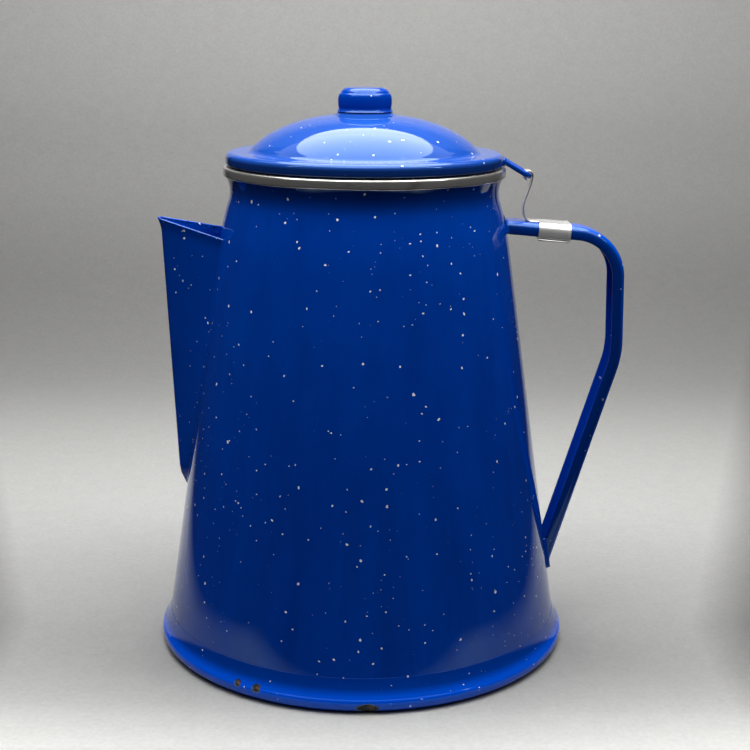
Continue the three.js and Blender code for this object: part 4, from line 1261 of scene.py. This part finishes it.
def basket_lid():
    """A pressed plate with a raised rim and a collar round the tube."""
    low, high = box_mm("basket_lid")
    under, upper = low.z, low.z + SHEET
    rim_under, rim_upper = low.z + 2.5, low.z + 2.5 + SHEET
    outer = high.x
    collar = TUBE_R + 0.65
    collar_outer = collar + SHEET
    line = Outline(collar + 0.5, under).line(outer - 6.3, under, step=2)
    line.curve(outer - 5.2, under, outer - 4.9, under + 1, 5)
    line.curve(outer - 4.6, rim_under, outer - 3.6, rim_under, 5).line(outer - 0.4, rim_under, step=2)
    line.curve(outer, rim_under, outer, rim_under + 0.4, 4)
    line.curve(outer, rim_upper, outer - 0.4, rim_upper, 4)
    line.line(outer - 4.0, rim_upper, step=2).curve(outer - 5.4, rim_upper, outer - 5.7, rim_under - 0.6, 6)
    line.curve(outer - 6.0, upper, outer - 7.2, upper, 5)
    line.line(collar + 1.6, upper, step=2).curve(collar_outer, upper, collar_outer, under + 1.6, 5)
    line.line(collar_outer, high.z - 0.3, step=2).curve(collar + 0.4, high.z + 0.3, collar, high.z - 0.3, 6)
    line.line(collar, under + 0.5, step=2).curve(collar, under, collar + 0.5, under, 4)
    made = spun("basket_lid", "spreader", line)
    cut(made, drill_rings([12, 18, 24, 30, 36], 1.1, 6.4, under - 1, under + 2))
    return made


# ---- Stage, lights and camera ----
SWEEP_FRONT = -0.17
SWEEP_FLAT_END = 0.42
SWEEP_BEND_R = 0.36
SWEEP_STEPS = 40


def stage():
    """A sheet that lies flat, widens and turns up behind the pot. Its front and its sides fade to black."""
    line = [(SWEEP_FRONT + (SWEEP_FLAT_END - SWEEP_FRONT) * i / 24, 0.0) for i in range(25)]
    for i in range(1, 33):
        angle = math.pi / 2 * i / 32
        rise = SWEEP_BEND_R * (1 - math.cos(angle))
        line.append((SWEEP_FLAT_END + SWEEP_BEND_R * math.sin(angle), rise))
    line.append((SWEEP_FLAT_END + SWEEP_BEND_R, 1.2))
    points, faces, runs, sides = [], [], [], []
    run = SWEEP_FRONT
    for i, (y, z) in enumerate(line):
        if i:
            run += math.dist(line[i - 1], line[i])
        half_width = 0.27 + 0.36 * max(run, 0)
        for j in range(SWEEP_STEPS + 1):
            share = 2 * j / SWEEP_STEPS - 1
            points.append((share * half_width, y, z))
            runs.append(run)
            sides.append(abs(share) * half_width - 0.30 * max(run, 0))
            if i and j:
                last = len(points) - 1
                faces.append([last - SWEEP_STEPS - 2, last - SWEEP_STEPS - 1, last, last - 1])
    mesh = bpy.data.meshes.new("sweep")
    mesh.from_pydata(points, [], faces)
    mesh.attributes.new("run", "FLOAT", "POINT").data.foreach_set("value", runs)
    mesh.attributes.new("side", "FLOAT", "POINT").data.foreach_set("value", sides)
    mesh.shade_smooth()
    mesh.materials.append(sweep_material())
    linked("sweep", mesh)


SWEEP_PAINTED_LIGHT = [
    # run along the sheet in metres, measured from the pot's axis, and painted brightness: light and shade
    # painted into the sheet's colour
    (-0.15, 0.64),
    (-0.09, 0.39),
    (-0.05, 0.255),
    (0.03, 0.268),
    (0.18, 0.335),
    (0.40, 0.232),
    (0.59, 0.159),
    (0.71, 0.202),
    (0.81, 0.264),
    (0.95, 0.38),
]


def sweep_material():
    shader = Shader("sweep_paper")
    low, high = SWEEP_PAINTED_LIGHT[0][0], SWEEP_PAINTED_LIGHT[-1][0]
    # Painted light and shade: the sheet's colour steps through the listed brightness along its run, lighter
    # in front of the pot where its shadow falls.
    ramp = shader.add("ShaderNodeValToRGB", {0: shader.ramp(shader.attribute("run"), low, high)})
    ramp.color_ramp.interpolation = "CARDINAL"
    stops = ramp.color_ramp.elements
    stops.remove(stops[1])
    for i, (at, tone) in enumerate(SWEEP_PAINTED_LIGHT):
        share = (at - low) / (high - low)
        stop = stops[0] if i == 0 else stops.new(share)
        stop.position = share
        stop.color = (tone, tone * 0.995, tone * 0.965, 1)
    fibres = shader.noise(420, 5, 0.75)
    speckled = shader.ramp(fibres, 0.3, 0.7, 0.92, 1.06)
    patches = shader.ramp(shader.noise(110, 3, 0.6), 0.3, 0.7, 0.975, 1.025)
    faded = shader.ramp(shader.attribute("side"), 0.15, 0.205, 1.0, 0.0)
    front = shader.ramp(shader.attribute("run"), SWEEP_FRONT + 0.005, SWEEP_FRONT + 0.055)
    shade = shader.value("MULTIPLY", shader.value("MULTIPLY", speckled, patches), faded)
    shade = shader.value("MULTIPLY", shade, front)
    colour = shader.vector("MULTIPLY", ramp.outputs[0], shade)
    bump = shader.bump(fibres, 0.0006, 0.4)
    return shader.finish(Base_Color=colour, Roughness=0.75, Normal=bump, Specular_IOR_Level=0.15)


def area_light(name, at, towards, size, power):
    data = bpy.data.lights.new(name, "AREA")
    data.shape = "RECTANGLE"
    data.size, data.size_y = size
    data.energy = power
    made = linked(name, data)
    made.location = at
    made.rotation_euler = (Vector(towards) - Vector(at)).to_track_quat("-Z", "Y").to_euler()
    return made


def lights():
    """An oval panel over the pot under a dim ceiling, with softboxes at its sides."""
    panel = area_light("top_panel", (0, 0.09, 0.75), (0, 0.09, 0), (0.76, 0.98), 10.8)
    panel.data.shape = "ELLIPSE"
    area_light("ceiling", (0, 0, 1.25), (0, 0, 0), (2.2, 2.2), 17.0)
    area_light("left_box", (-0.46, -0.20, 0.72), (0, 0, 0.12), (0.05, 0.50), 0.5)
    area_light("right_box", (0.46, -0.20, 0.72), (0, 0, 0.12), (0.05, 0.50), 1.0)
    world = bpy.data.worlds.new("room")
    world.use_nodes = True
    backing = world.node_tree.nodes["Background"]
    backing.inputs[0].default_value = (0.80, 0.88, 1.0, 1)
    backing.inputs[1].default_value = 0.012
    bpy.context.scene.world = world


CAMERA_AT = (0, -0.61346, 0.26803)
CAMERA_TURNS = (0.0084, 0.2411, 0.0086)
CAMERA_LENS = 69.3


def camera():
    yaw, pitch, roll = CAMERA_TURNS
    forward = Vector((math.sin(yaw) * math.cos(pitch), math.cos(yaw) * math.cos(pitch), -math.sin(pitch)))
    level = Vector((math.cos(yaw), -math.sin(yaw), 0))
    over = level.cross(forward)
    right = level * math.cos(roll) + over * math.sin(roll)
    up = over * math.cos(roll) - level * math.sin(roll)
    data = bpy.data.cameras.new("camera")
    data.lens = CAMERA_LENS
    data.sensor_width = 36
    data.clip_start, data.clip_end = 0.01, 20
    made = linked("camera", data)
    axes = Matrix((right, up, -forward)).transposed().to_4x4()
    made.matrix_world = Matrix.Translation(CAMERA_AT) @ axes
    bpy.context.scene.camera = made


# ---- The scene ----
camera()
stage()
lights()
bpy.context.scene.view_settings.view_transform = "Standard"

pot_body()
base_pan()
rim_band()
spout()
spout_fillet()
handle()
handle_root_fillet()
handle_foot_fillet()
hinge_clip()
hinge_loop()
loop_welds()
lid_shell()
lid_skirt()
lid_knob()
knob_fillet()
pump_tube()
pump_foot()
valve_seat()
valve_disc()
basket_stop()
coffee_basket()
basket_sleeve()
basket_lid()
